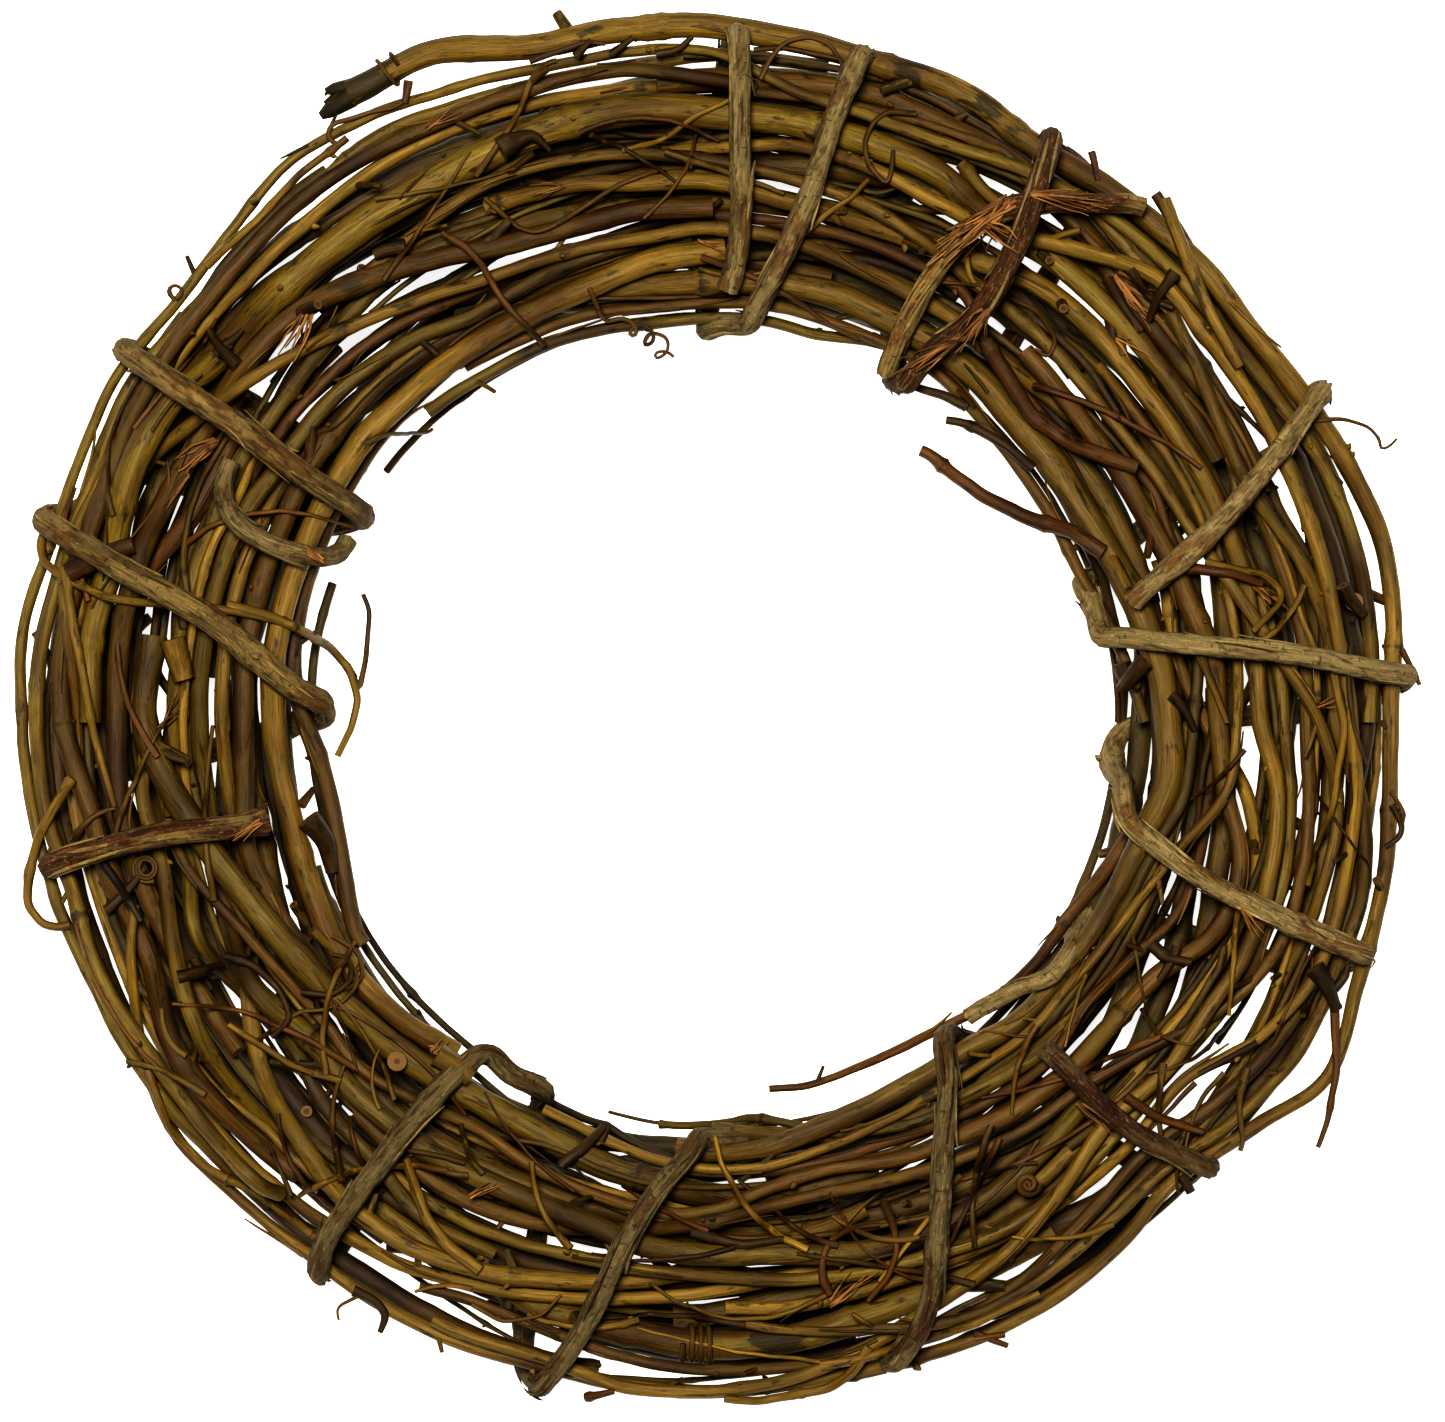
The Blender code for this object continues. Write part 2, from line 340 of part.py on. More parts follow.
# Side shoots that leave their cane: host, thickness at root and tip, the clock angle of the root, and
# then points as clock angle, radius and height above the root.
SHOOTS = (
    ("cane_inner_4", 3.0, 2.2, 422, [(417, 83, 1), (412, 79.5, 1.5), (407, 77.2, 2), (402, 76.6, 2),
                                     (398, 75.5, 2)]),
    ("cane_inner_4", 2.6, 2.3, 425.4, [(424.6, 85.6, -.5), (423.7, 83.2, -.5)]),
    ("cane_inner_4", 1.7, 1.4, 408.6, [(404, 86, 1), (400.5, 84.4, 1), (397.5, 83.8, 1)]),
    ("cane_inner_8", 2.2, 1.5, 259, [(263, 83.5, .5), (267, 79.5, 1), (270.5, 77.2, 1), (274, 77, 1),
                                     (278, 77.8, 1), (283, 79, 1), (287, 80.5, 1),
                                     (290.3, 82.8, .5)]),
    ("cane_inner_8", 1.9, 1.5, 281, [(280.7, 89, 2), (279.5, 84.5, 4), (277.5, 81.5, 4.5),
                                     (275.5, 80.5, 4.5)]),
    ("cane_inner_5", 2.2, 1.6, 341.5, [(342, 87, 0), (341, 81.3, 0)]),
    ("cane_outer_1", 1.6, 1.1, 424.6, [(424.7, 153, 2), (425.9, 158, 3), (427.4, 159, 3),
                                       (427.3, 162.3, 2)]),
    ("cane_middle_8", 2.1, 1.6, 438, [(439, 142, 3.5), (441, 147, 5), (444, 151.5, 4)]),
    ("cane_outer_1", 1.9, 1.3, 476.4, [(479.5, 157.5, 1), (482, 160, 1), (485, 162.5, 0)]),
    ("cane_outer_1", 1.7, 1.4, 549.4, [(550.3, 149.8, 1), (551, 152.5, 1)]),
    ("cane_outer_1", 1.7, 1.4, 567, [(568, 151, 1), (569.5, 153.3, 1)]),
    ("cane_outer_1", 1.9, 1.5, 394, [(393.6, 147.5, 2), (393, 150.5, 2)]),
)

# Binder vines: finish, thickness, and one entry for each pass over the front. A pass has the clock angle
# where the vine comes up from the back at the hole (none for a free end), then its points on the front,
# from the hole outwards, as clock angle and radius.
BINDERS = {
    "binder_top": ("bark", 5.0, [
        (None, [(2, 94), (2.8, 98), (3.3, 105), (3.2, 115), (2.5, 130), (2.4, 145), (2, 152)]),
        (359.0, [(5.5, 90), (7.5, 97), (9, 105), (10.3, 115), (11.3, 135), (12, 143), (12.7, 152)]),
        (29.6, [(30, 93), (32, 98), (33.3, 105), (32.8, 120), (32.2, 128), (31.3, 137), (30, 149)]),
    ]),
    "binder_right": ("bark", 4.8, [
        (None, [(74, 95), (72, 103), (70.5, 110), (69, 117), (67, 126), (65, 134), (62.5, 147),
                (61.3, 152)]),
        (70.5, [(78, 90), (80, 100), (81, 107), (83, 125), (84.3, 135), (85.5, 145), (86.3, 153)]),
        (92.0, [(103.5, 92), (104.5, 97), (106.5, 104), (107.8, 112), (109, 130), (109.7, 154)]),
    ]),
    "binder_bottom": ("bark", 4.8, [
        (None, [(134.5, 101), (134.3, 110), (134.8, 117), (134.7, 125), (133.8, 133), (131.8, 146)]),
        (143.0, [(144.5, 88), (146, 93), (151, 104), (152.5, 109), (156, 121), (160.5, 139),
                 (162, 143), (164.5, 146)]),
        (174.5, [(182, 94), (185, 98), (188, 107), (189, 111), (190.8, 125), (192.3, 138), (194.7, 152)]),
        (204.5, [(215.5, 91), (216.5, 98), (216.8, 115), (217, 135), (216.5, 145), (215.3, 151)]),
    ]),
    "binder_left": ("dark bark", 5.6, [
        (None, [(257.5, 99.5), (257.5, 107), (258.5, 118), (258.3, 135), (257.7, 151)]),
        (272.0, [(273, 88), (277, 98), (281, 109), (283.3, 123), (284.5, 133), (286.8, 154)]),
        (300.5, [(301, 97), (301, 105), (302, 120), (302, 138), (302.3, 153)]),
    ]),
    "binder_left_short": ("bark", 4.4, [
        (296.6, [(292.5, 95), (291.8, 100), (292, 107), (292.5, 114), (294, 118), (296, 119),
                 (298.6, 119.4)]),
    ]),
    "binder_split_end": ("dark bark", 4.6, [
        (None, [(26.4, 84), (26, 90), (25.8, 100), (26.2, 110), (27, 118), (28, 124), (31, 132),
                (35, 138), (38, 144), (40, 147)]),
    ]),
}
LAID_UNDER = "binder_split_end"
LAID_ON = ("binder_split_end", "binder_left_short")
TAIL_END = {"binder_top": (-120, 45), "binder_bottom": (-120, 217), "binder_left": (-110, 306)}
# The last stretch of the right binder runs back over the rim: clock angle and side of the bundle
RIM_RUN = ((117.5, 188), (119.5, 165), (122.5, 150), (126, 143), (130, 141), (134, 143), (137, 150),
           (139.3, 160))
RIM_RUN_WIDTH = 4.4
RIM_RUN_TAPER = 0.6
TURN_STEP = 20
FRONT_STEP = 8.5
LAID_STEP = 5.5
BACK_STEP = 18
RIM_TURN = 32
OVER_EDGE = 132
HOLE_STEP = 2.8
CLEAR_STEP = 1.9
WRAP_REACH = 4.4
BINDER_SIDES = 6
FEET = 3
FOOT_BELOW = 0.6


def laid_out(canes):
    """Gives every fine station of every cane a row and a column, one turn to a row."""
    taken = []
    rows = []
    for cane in canes:
        fine = np.arange(cane.fine[0], cane.fine[-1] + 1)
        row = np.zeros(len(fine), int)
        turn = fine // FINE_PER_TURN
        for one_turn in np.unique(turn):
            here = turn == one_turn
            columns = fine[here] % FINE_PER_TURN
            for r, used in enumerate(taken):
                if not used[columns].any():
                    break
            else:
                r = len(taken)
                taken.append(np.zeros(FINE_PER_TURN, bool))
            taken[r][columns] = True
            row[here] = r
        rows.append(row)
    return rows, len(taken)


def between_rings(cane):
    """For each fine station: the ring before it, and the share of the way to the next ring."""
    fine = np.arange(cane.fine[0], cane.fine[-1] + 1)
    before = np.clip(np.searchsorted(cane.fine, fine, side="right") - 1, 0, len(cane.fine) - 2)
    share = (fine - cane.fine[before]) / (cane.fine[before + 1] - cane.fine[before])
    return before, share


def tube_radius(diameter, sides):
    """Corner radius of a tube with few sides that holds the same volume as a round one."""
    return diameter / 2 * math.sqrt(2 * math.pi / (sides * math.sin(2 * math.pi / sides)))


def cane_sides(cane):
    return 6 if cane.diameter.max() > THICK_CANE else 5


class Bundle:
    """All canes together, held as arrays so that they can be spread until none overlap."""

    def __init__(self, canes):
        self.canes = canes
        rows, self.row_count = laid_out(canes)
        starts = np.cumsum([0] + [len(cane.fine) for cane in canes])
        before = []
        share = []
        column = []
        give = []
        bound = []
        for cane, start in zip(canes, starts):
            ring, part = between_rings(cane)
            before.append(ring + start)
            share.append(part)
            fine = np.arange(cane.fine[0], cane.fine[-1] + 1)
            column.append(fine % FINE_PER_TURN)
            bound.append(fine * FINE_ANGLE < LOOSE_FROM.get(cane.name, math.inf))
            give.append(np.full(len(ring), TRACED_GIVE if cane.held else UNDER_GIVE))
        self.first = starts
        self.before = np.concatenate(before)
        self.share = np.concatenate(share)
        self.row = np.concatenate(rows)
        self.column = np.concatenate(column)
        self.give = np.concatenate(give)
        self.bound = np.concatenate(bound)
        self.radius = np.concatenate([cane.radius for cane in canes])
        self.height = np.concatenate([cane.height for cane in canes])
        corner = [np.array([tube_radius(d, cane_sides(cane)) for d in cane.diameter]) for cane in canes]
        self.corner = np.concatenate(corner)
        self.wanted_radius = self.radius.copy()
        self.wanted_height = self.height.copy()
        self.lasts = starts[1:] - 1

    def at_stations(self, values):
        return values[self.before] * (1 - self.share) + values[self.before + 1] * self.share

    def table(self, values, empty):
        sheet = np.full((self.row_count, FINE_PER_TURN), empty, float)
        sheet[self.row, self.column] = values
        return sheet

    def section_radius(self):
        """Half width of each cane as a flat cut through the ring's centre shows it."""
        span = (self.share[1:] > self.share[:-1])
        run = np.radians(FINE_ANGLE) * self.at_stations(self.radius)
        lean = np.zeros(len(self.before))
        for values in (self.radius, self.height):
            step = np.diff(self.at_stations(values))
            slope = np.where(span, step / run[1:], 0)
            lean[1:] += slope ** 2
        lean[:-1] = np.maximum(lean[:-1], lean[1:])
        return self.at_stations(self.corner) * np.sqrt(1 + np.minimum(lean, 1.5))

    def crossing_order(self):
        """Which of two canes lies on top, the same all along each stretch where they meet."""
        order = np.ones((self.row_count, self.row_count, FINE_PER_TURN))
        radius = self.at_stations(self.radius)
        height = self.at_stations(self.height)
        half = self.section_radius()
        first_station = np.cumsum([0] + [c.fine[-1] - c.fine[0] + 1 for c in self.canes])
        for a, one in enumerate(self.canes):
            for b in range(a, len(self.canes)):
                other = self.canes[b]
                for turns in range(-3, 4):
                    if a == b and turns <= 0:
                        continue
                    shift = turns * FINE_PER_TURN
                    low = max(one.fine[0], other.fine[0] + shift)
                    high = min(one.fine[-1], other.fine[-1] + shift)
                    if high < low:
                        continue
                    k = np.arange(low, high + 1)
                    i = k - one.fine[0] + first_station[a]
                    j = k - shift - other.fine[0] + first_station[b]
                    room = half[i] + half[j] + TOUCH_GAP + 1.5 - np.abs(radius[i] - radius[j])
                    near = room > 0
                    edges = np.flatnonzero(np.diff(near.astype(int))) + 1
                    for stretch in np.split(np.arange(len(k)), edges):
                        weight = np.maximum(room[stretch], 0.01)
                        lead = ((height[i] - height[j])[stretch] * weight).sum()
                        side = 1.0 if lead >= 0 else -1.0
                        order[self.row[i[stretch]], self.row[j[stretch]], self.column[i[stretch]]] = side
                        order[self.row[j[stretch]], self.row[i[stretch]], self.column[i[stretch]]] = -side
        return order

    def pushes(self, order, sideways):
        """How far each fine station has to move, along the radius and upwards, to clear the others."""
        far = 1e4 + 1e3 * np.arange(self.row_count)[:, None]
        radius = self.table(self.at_stations(self.radius), np.nan)
        radius = np.where(np.isnan(radius), far, radius)
        height = self.table(self.at_stations(self.height), 0)
        half = self.table(self.section_radius(), 0)
        free = self.table(self.give, 0)
        across = radius[:, None] - radius[None]
        apart = np.abs(across)
        need = half[:, None] + half[None] + TOUCH_GAP
        need[np.arange(self.row_count), np.arange(self.row_count)] = 0
        over = order * (height[:, None] - height[None])
        clash = (apart < need) & ((over < 0) | (apart ** 2 + over ** 2 < need ** 2))
        side_step = np.where(clash & (apart > 0.5 * need), np.minimum(need - apart, 0.15 * need), 0)
        side_step = side_step * np.maximum(free[:, None], free[None]) * sideways
        wanted = np.sqrt(np.maximum(need ** 2 - (apart + side_step) ** 2, 0))
        rise = np.where(clash, np.maximum(wanted - over, 0), 0)
        count = np.maximum(clash.sum(axis=1), 1)
        share = 0.5 / (1 + 0.4 * (count - 1))
        outward = (np.sign(across) * side_step).sum(axis=1) * share
        upward = (order * rise).sum(axis=1) * share
        worst = np.where(clash, need - np.sqrt(apart ** 2 + np.maximum(over, 0) ** 2), 0).max()
        return outward[self.row, self.column], upward[self.row, self.column], worst

    def to_rings(self, moves):
        """Turns moves of the fine stations into moves of the rings."""
        total = np.zeros(len(self.radius))
        weight = np.full(len(self.radius), 1e-9)
        active = np.abs(moves) > 1e-9
        for ring, part in ((self.before, 1 - self.share), (self.before + 1, self.share)):
            np.add.at(total, ring[active], (moves * part)[active])
            np.add.at(weight, ring[active], part[active])
        return total / weight

    def smoothed(self, values, amount):
        """Draws each ring towards the middle of its two neighbours on the same cane."""
        middle = values.copy()
        middle[1:-1] = (values[:-2] + values[2:]) / 2
        middle[self.first[:-1]] = values[self.first[:-1]]
        middle[self.lasts] = values[self.lasts]
        return values + amount * (middle - values)

    def spread(self):
        order = self.crossing_order()
        for step in range(SPREAD_ROUNDS):
            done = step / SPREAD_ROUNDS
            outward, upward, worst = self.pushes(order, sideways=1.0 if done < SIDEWAYS_UNTIL else 0.3)
            self.radius += self.to_rings(outward)
            self.height += self.to_rings(upward)
            if done < SMOOTH_UNTIL:
                loose = 0.25 * (1 - done)
                off_radius = self.smoothed(self.radius - self.wanted_radius, loose)
                off_height = self.smoothed(self.height - self.wanted_height, loose)
                hold = 0.02 * (1 - done)
                self.radius = self.wanted_radius + off_radius * (1 - hold)
                self.height = self.wanted_height + off_height * (1 - hold)
            elif worst < SPREAD_ENOUGH:
                break
        for cane, first, last in zip(self.canes, self.first[:-1], self.first[1:]):
            cane.radius = self.radius[first:last]
            cane.height = self.height[first:last]
        return worst

    def section(self, angle, reach):
        """Every cane's cut within some degrees of this clock angle: radius, height and half width."""
        wanted = round(angle / FINE_ANGLE)
        width = round(reach / FINE_ANGLE)
        off = (self.column - wanted + FINE_PER_TURN // 2) % FINE_PER_TURN - FINE_PER_TURN // 2
        here = (np.abs(off) <= width) & self.bound
        return np.stack([
            self.at_stations(self.radius)[here],
            self.at_stations(self.height)[here],
            self.section_radius()[here],
        ])


def place(angle, radius, height):
    """The point at a clock angle, radius and height, in millimetres from the ring's centre."""
    turn = math.radians(angle)
    return Vector((radius * math.sin(turn), radius * math.cos(turn), height))


def outward_at(angle):
    turn = math.radians(angle)
    return Vector((math.sin(turn), math.cos(turn), 0))


def directions(points):
    ways = []
    for i in range(len(points)):
        ahead = points[min(i + 1, len(points) - 1)]
        behind = points[max(i - 1, 0)]
        ways.append((ahead - behind).normalized())
    return ways


def add_tube(mesh, rings, start_tip, end_tip):
    """Skins rings of points into a closed tube with a low point on each end."""
    loops = [[mesh.verts.new(point) for point in ring] for ring in rings]
    count = len(rings[0])
    for one, other in zip(loops, loops[1:]):
        for i in range(count):
            j = (i + 1) % count
            mesh.faces.new((one[i], one[j], other[j], other[i]))
    for loop, tip, turned in ((loops[0], start_tip, True), (loops[-1], end_tip, False)):
        apex = mesh.verts.new(tip)
        for i in range(count):
            j = (i + 1) % count
            corners = (loop[j], loop[i], apex) if turned else (loop[i], loop[j], apex)
            mesh.faces.new(corners)


def cane_rings(cane):
    """Rings in planes through the ring's centre line, widened so that the cane itself is round."""
    points = [place(a, r, h) for a, r, h in zip(cane.angle, cane.radius, cane.height)]
    ways = directions(points)
    sides = cane_sides(cane)
    rings = []
    for point, way, angle, diameter in zip(points, ways, cane.angle, cane.diameter):
        out = outward_at(angle)
        corner = tube_radius(diameter, sides)
        ring = []
        for i in range(sides):
            turn = 2 * math.pi * (i + 0.25) / sides
            spoke = out * math.cos(turn) + Vector((0, 0, math.sin(turn)))
            stretch = 1 / math.sqrt(max(1 - spoke.dot(way) ** 2, 0.4))
            ring.append(point + spoke * corner * stretch)
        rings.append(ring)
    start = points[0] - ways[0] * cane.diameter[0] * CANE_TIP
    end = points[-1] + ways[-1] * cane.diameter[-1] * CANE_TIP
    return rings, start, end


def free_rings(points, thickness, outsides, sides):
    """Rings square to a free path, with a flat side towards the given outside direction."""
    ways = directions(points)
    rings = []
    for point, way, wide, outside in zip(points, ways, thickness, outsides):
        out = (outside - way * outside.dot(way)).normalized()
        side = way.cross(out)
        corner = tube_radius(wide, sides)
        ring = []
        for i in range(sides):
            turn = 2 * math.pi * (i + 0.5) / sides
            ring.append(point + (out * math.cos(turn) + side * math.sin(turn)) * corner)
        rings.append(ring)
    start = points[0] - ways[0] * thickness[0] * FREE_TIP
    end = points[-1] + ways[-1] * thickness[-1] * FREE_TIP
    return rings, start, end


class Wrap:
    """The tight line of a binder vine round the bundle, at any clock angle."""

    def __init__(self, bundle, half, extra):
        self.bundle = bundle
        self.half = half
        self.extra = extra

    def cuts(self, angle, reach):
        cuts = self.bundle.section(angle, reach)
        near = [cut[1:] for cut in self.extra if abs(cut[0] - angle) < reach]
        if near:
            cuts = np.concatenate([cuts, np.array(near).T], axis=1)
        return cuts

    def point(self, angle, turn):
        """Radius and height where the vine touches the bundle from this side.

        The side is an angle round the bundle: 0 at the rim, 90 on the front, 180 at the hole and
        -90 at the back.
        """
        radius, height, half = self.cuts(angle, WRAP_REACH)
        across = math.cos(math.radians(turn))
        up = math.sin(math.radians(turn))
        i = int(np.argmax(radius * across + height * up + half))
        off = half[i] + self.half + BINDER_GAP
        return radius[i] + off * across, height[i] + off * up

    def front_line(self, angle):
        """Radius, height and side of the tight line over the front, from the hole to the rim."""
        turns = np.arange(178, 0, -8)
        line = np.array([self.point(angle, turn) for turn in turns])
        return line[:, 0], line[:, 1], turns

    def back_height(self, angle, radius):
        line = np.array([self.point(angle, turn) for turn in np.arange(-178, 0, 8)])
        return float(np.interp(radius, line[:, 0], line[:, 1]))


def front_pass(wrap, knots, step, tucked):
    """A run over the front through the given points: clock angle, radius, height and side of each.

    A tucked run leaves out what lies beyond the edges of the bundle, where the vine turns under.
    """
    length = [0]
    for (a0, r0), (a1, r1) in zip(knots, knots[1:]):
        length.append(length[-1] + (place(a1, r1, 0) - place(a0, r0, 0)).length)
    at = np.linspace(0, length[-1], max(3, round(length[-1] / step) + 1))
    angles = smooth_through(length, [a for a, r in knots], at)
    radii = smooth_through(length, [r for a, r in knots], at)
    points = []
    for angle, radius in zip(angles, radii):
        line_radius, line_height, line_turn = wrap.front_line(float(angle))
        if tucked and not line_radius[0] < radius < line_radius[-1]:
            continue
        inside = min(max(radius, line_radius[0] + 1), line_radius[-1] - 1)
        height = float(np.interp(inside, line_radius, line_height))
        turn = float(np.interp(inside, line_radius, line_turn))
        points.append((float(angle), float(radius), height, turn))
    return points


def back_pass(wrap, start_angle, end_angle, first_turn, last_turn):
    """From the rim, round the back, to the hole; turns run downwards from 0 at the rim."""
    points = []
    count = round((first_turn - last_turn) / TURN_STEP)
    for i in range(count + 1):
        turn = first_turn + (last_turn - first_turn) * i / count
        share = (math.cos(math.radians(min(turn, 0))) - 1) / -2
        angle = start_angle + (end_angle - start_angle) * share
        radius, height = wrap.point(angle, turn)
        points.append((angle, radius, height, turn))
    return with_middles(wrap, points)


def with_middles(wrap, path):
    """Adds a point between two that lie far apart on the back."""
    full = [path[0]]
    for before, after in zip(path, path[1:]):
        span = (place(*after[:3]) - place(*before[:3])).length
        parts = math.ceil(span / BACK_STEP)
        if before[3] < 0 and after[3] < 0:
            for i in range(1, parts):
                angle, radius, height, turn = (b + (a - b) * i / parts for b, a in zip(before, after))
                full.append((angle, radius, min(height, wrap.back_height(angle, radius)), turn))
        full.append(after)
    return full


def hole_loop(wrap, arrive, leave):
    """Up through the hole, following the inner edge from where it comes up to where it turns over."""
    lead = (leave - arrive + 180) % 360 - 180
    count = max(2, math.ceil(abs(lead) / HOLE_STEP))
    points = []
    for i in range(count + 1):
        share = i / count
        turn = 185 - 30 * share
        angle = arrive + lead * share
        radius, height = wrap.point(angle, turn)
        points.append((angle, radius, height, turn))
    points.append((leave, *wrap.point(leave, OVER_EDGE), OVER_EDGE))
    return points


def binder_path(wrap, name, passes):
    path = []
    for number, (arrive, knots) in enumerate(passes):
        if arrive is not None:
            if number:
                rim = path[-1][0]
                lead = (arrive - rim + 180) % 360 - 180
                path += back_pass(wrap, rim, rim + lead, 10, -170)
            path += hole_loop(wrap, arrive, knots[0][0])
        if name in LAID_ON:
            path += front_pass(wrap, knots, LAID_STEP, tucked=False)
        else:
            run = front_pass(wrap, knots, FRONT_STEP, tucked=True)
            path += [point for point in run if not path or point[1] > path[-1][1] + 3]
            rim = knots[-1][0]
            radius, height = wrap.point(rim, RIM_TURN)
            path.append((rim, radius, height, RIM_TURN))
    if name in TAIL_END:
        turn, angle = TAIL_END[name]
        path += back_pass(wrap, path[-1][0], angle, 10, turn)
    if name == "binder_right":
        path += back_pass(wrap, path[-1][0], RIM_RUN[0][0], 10, -160)
        for angle, turn in RIM_RUN:
            radius, height = wrap.point(angle, turn)
            path.append((angle, radius, height, turn))
    return clear_steps(path)


def clear_steps(path):
    """Drops points that nearly meet the one before, which would fold the tube."""
    kept = [path[0]]
    for point in path[1:]:
        if (place(*point[:3]) - place(*kept[-1][:3])).length > CLEAR_STEP:
            kept.append(point)
    return kept


def new_object(name, mesh, tone):
    data = bpy.data.meshes.new(name)
    centre = Vector((RING_CENTRE_X, RING_CENTRE_Y, 0))
    for vert in mesh.verts:
        vert.co = (vert.co + centre) * MM
    bmesh.ops.recalc_face_normals(mesh, faces=mesh.faces)
    mesh.to_mesh(data)
    mesh.free()
    data.materials.append(material(tone))
    data.shade_smooth()
    thing = bpy.data.objects.new(name, data)
    bpy.context.scene.collection.objects.link(thing)
    return thing


def material(tone):
    if tone in bpy.data.materials:
        return bpy.data.materials[tone]
    finish = bpy.data.materials.new(tone)
    finish.use_nodes = True
    colour, roughness = TONES[tone]
    shader = finish.node_tree.nodes["Principled BSDF"]
    shader.inputs["Base Color"].default_value = colour
    shader.inputs["Roughness"].default_value = roughness
    shader.inputs["Metallic"].default_value = 0
    return finish


def build_cane(cane, lift):
    mesh = bmesh.new()
    rings, start, end = cane_rings(cane)
    add_tube(mesh, rings, start, end)
    bmesh.ops.translate(mesh, verts=mesh.verts, vec=(0, 0, lift))
    return new_object(cane.name, mesh, cane.tone)


def shoot_points(cane, root, knots):
    radius = float(np.interp(root, cane.angle, cane.radius))
    height = float(np.interp(root, cane.angle, cane.height))
    points = [place(root, radius, height)]
    for angle, away, rise in knots:
        points.append(place(angle, away, height + rise))
    return points


def build_shoot(name, cane, root_width, tip_width, root, knots, lift):
    points = shoot_points(cane, root, knots)
    count = len(points)
    widths = [root_width + (tip_width - root_width) * i / (count - 1) for i in range(count)]
    mesh = bmesh.new()
    rings, start, end = free_rings(points, widths, [Vector((0, 0, 1))] * count, 5)
    add_tube(mesh, rings, points[0] - (points[1] - points[0]).normalized() * 0.3, end)
    bmesh.ops.translate(mesh, verts=mesh.verts, vec=(0, 0, lift))
    return new_object(name, mesh, cane.tone)


def fuse(host, shoots):
    """Joins side shoots to their cane in one solid."""
    gathered = bpy.data.collections.new(host.name + "_shoots")
    bpy.context.scene.collection.children.link(gathered)
    for shoot in shoots:
        bpy.context.scene.collection.objects.unlink(shoot)
        gathered.objects.link(shoot)
    join = host.modifiers.new("shoots", "BOOLEAN")
    join.operation = "UNION"
    join.operand_type = "COLLECTION"
    join.collection = gathered
    join.solver = "MANIFOLD"
    bpy.context.view_layer.update()
    seen = host.evaluated_get(bpy.context.evaluated_depsgraph_get())
    joined = bpy.data.meshes.new_from_object(seen)
    host.modifiers.clear()
    host.data = joined
    for shoot in shoots:
        bpy.data.objects.remove(shoot)
    bpy.data.collections.remove(gathered)


def binder_plans(bundle):
    """The path of every binder vine, as rings of clock angle, radius, height and side."""
    laid = []
    plans = {}
    names = [LAID_UNDER] + [name for name in BINDERS if name != LAID_UNDER]
    for name in names:
        tone, thickness, passes = BINDERS[name]
        wrap = Wrap(bundle, thickness / 2 * 1.06, laid)
        path = binder_path(wrap, name, passes)
        plans[name] = path
        if name == LAID_UNDER:
            for (a0, r0, h0, t0), (a1, r1, h1, t1) in zip(path, path[1:]):
                for share in (0, 0.33, 0.67):
                    at = [v0 + (v1 - v0) * share for v0, v1 in zip((a0, r0, h0), (a1, r1, h1))]
                    laid.append((*at, thickness / 2 * 1.1))
    return plans


def lowest_of(path, thickness):
    return min(point[2] for point in path) - thickness / 2


def choose_feet(plans):
    """The lowest place in each third of the ring, as the binder's name and the point's number."""
    feet = []
    for third in range(FEET):
        found = []
        for name, path in plans.items():
            thickness = BINDERS[name][1]
            for i in range(2, len(path) - 3):
                if -120 < path[i][3] < -60 and path[i][0] % 360 // 120 == third:
                    found.append((path[i][2] - thickness / 2, name, i))
        feet.append(min(found)[1:])
    return feet


def build_binder(name, path, lift, feet):
    tone, thickness, passes = BINDERS[name]
    points = [place(a, r, h + lift) for a, r, h, t in path]
    outsides = []
    for angle, radius, height, turn in path:
        out = outward_at(angle) * math.cos(math.radians(turn))
        outsides.append(out + Vector((0, 0, math.sin(math.radians(turn)))))
    flat_depth = tube_radius(thickness, BINDER_SIDES) * math.cos(math.pi / BINDER_SIDES)
    for foot in feet:
        for i in (foot, foot + 1):
            points[i].z = flat_depth
            outsides[i] = Vector((0, 0, -1))
    widths = [thickness] * len(points)
    if name == "binder_right":
        run = len(RIM_RUN)
        widths[-run:] = [RIM_RUN_WIDTH - RIM_RUN_TAPER * i / run for i in range(run)]
    rings, start, end = free_rings(points, widths, outsides, BINDER_SIDES)
    for foot in feet:
        for i in (foot, foot + 1):
            for corner in sorted(rings[i], key=lambda p: p.z)[:2]:
                corner.z = 0
    mesh = bmesh.new()
    add_tube(mesh, rings, start, end)
    return new_object(name, mesh, tone)


def main():
    for thing in list(bpy.data.objects):
        bpy.data.objects.remove(thing)
    canes = traced_canes() + under_canes()
    bundle = Bundle(canes)
    worst = bundle.spread()
    print("the canes still have to move apart by", round(float(worst), 3), "mm")
    plans = binder_plans(bundle)
    lowest = min(lowest_of(path, BINDERS[name][1]) for name, path in plans.items())
    lift = FOOT_BELOW - lowest
    print("middle of the bundle at", round(lift, 2), "mm")
    feet = choose_feet(plans)
    by_name = {cane.name: cane for cane in canes}
    built = {cane.name: build_cane(cane, lift) for cane in canes}
    grown = {}
    for number, (host, root_width, tip_width, root, knots) in enumerate(SHOOTS):
        shoot = build_shoot(f"shoot_{number}", by_name[host], root_width, tip_width, root, knots, lift)
        grown.setdefault(host, []).append(shoot)
    for host, shoots in grown.items():
        fuse(built[host], shoots)
    for name, path in plans.items():
        build_binder(name, path, lift, [i for foot_name, i in feet if foot_name == name])


main()
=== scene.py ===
"""Looks of a grapevine wreath: bark, knuckles, buds, tendrils and torn bark on its coiled vines.

Lengths are in metres, apart from the tables of places: there, a place is a clock angle (degrees
clockwise from twelve o'clock, seen from the front) and a radius from the ring's centre in millimetres.
"""
import json
import math

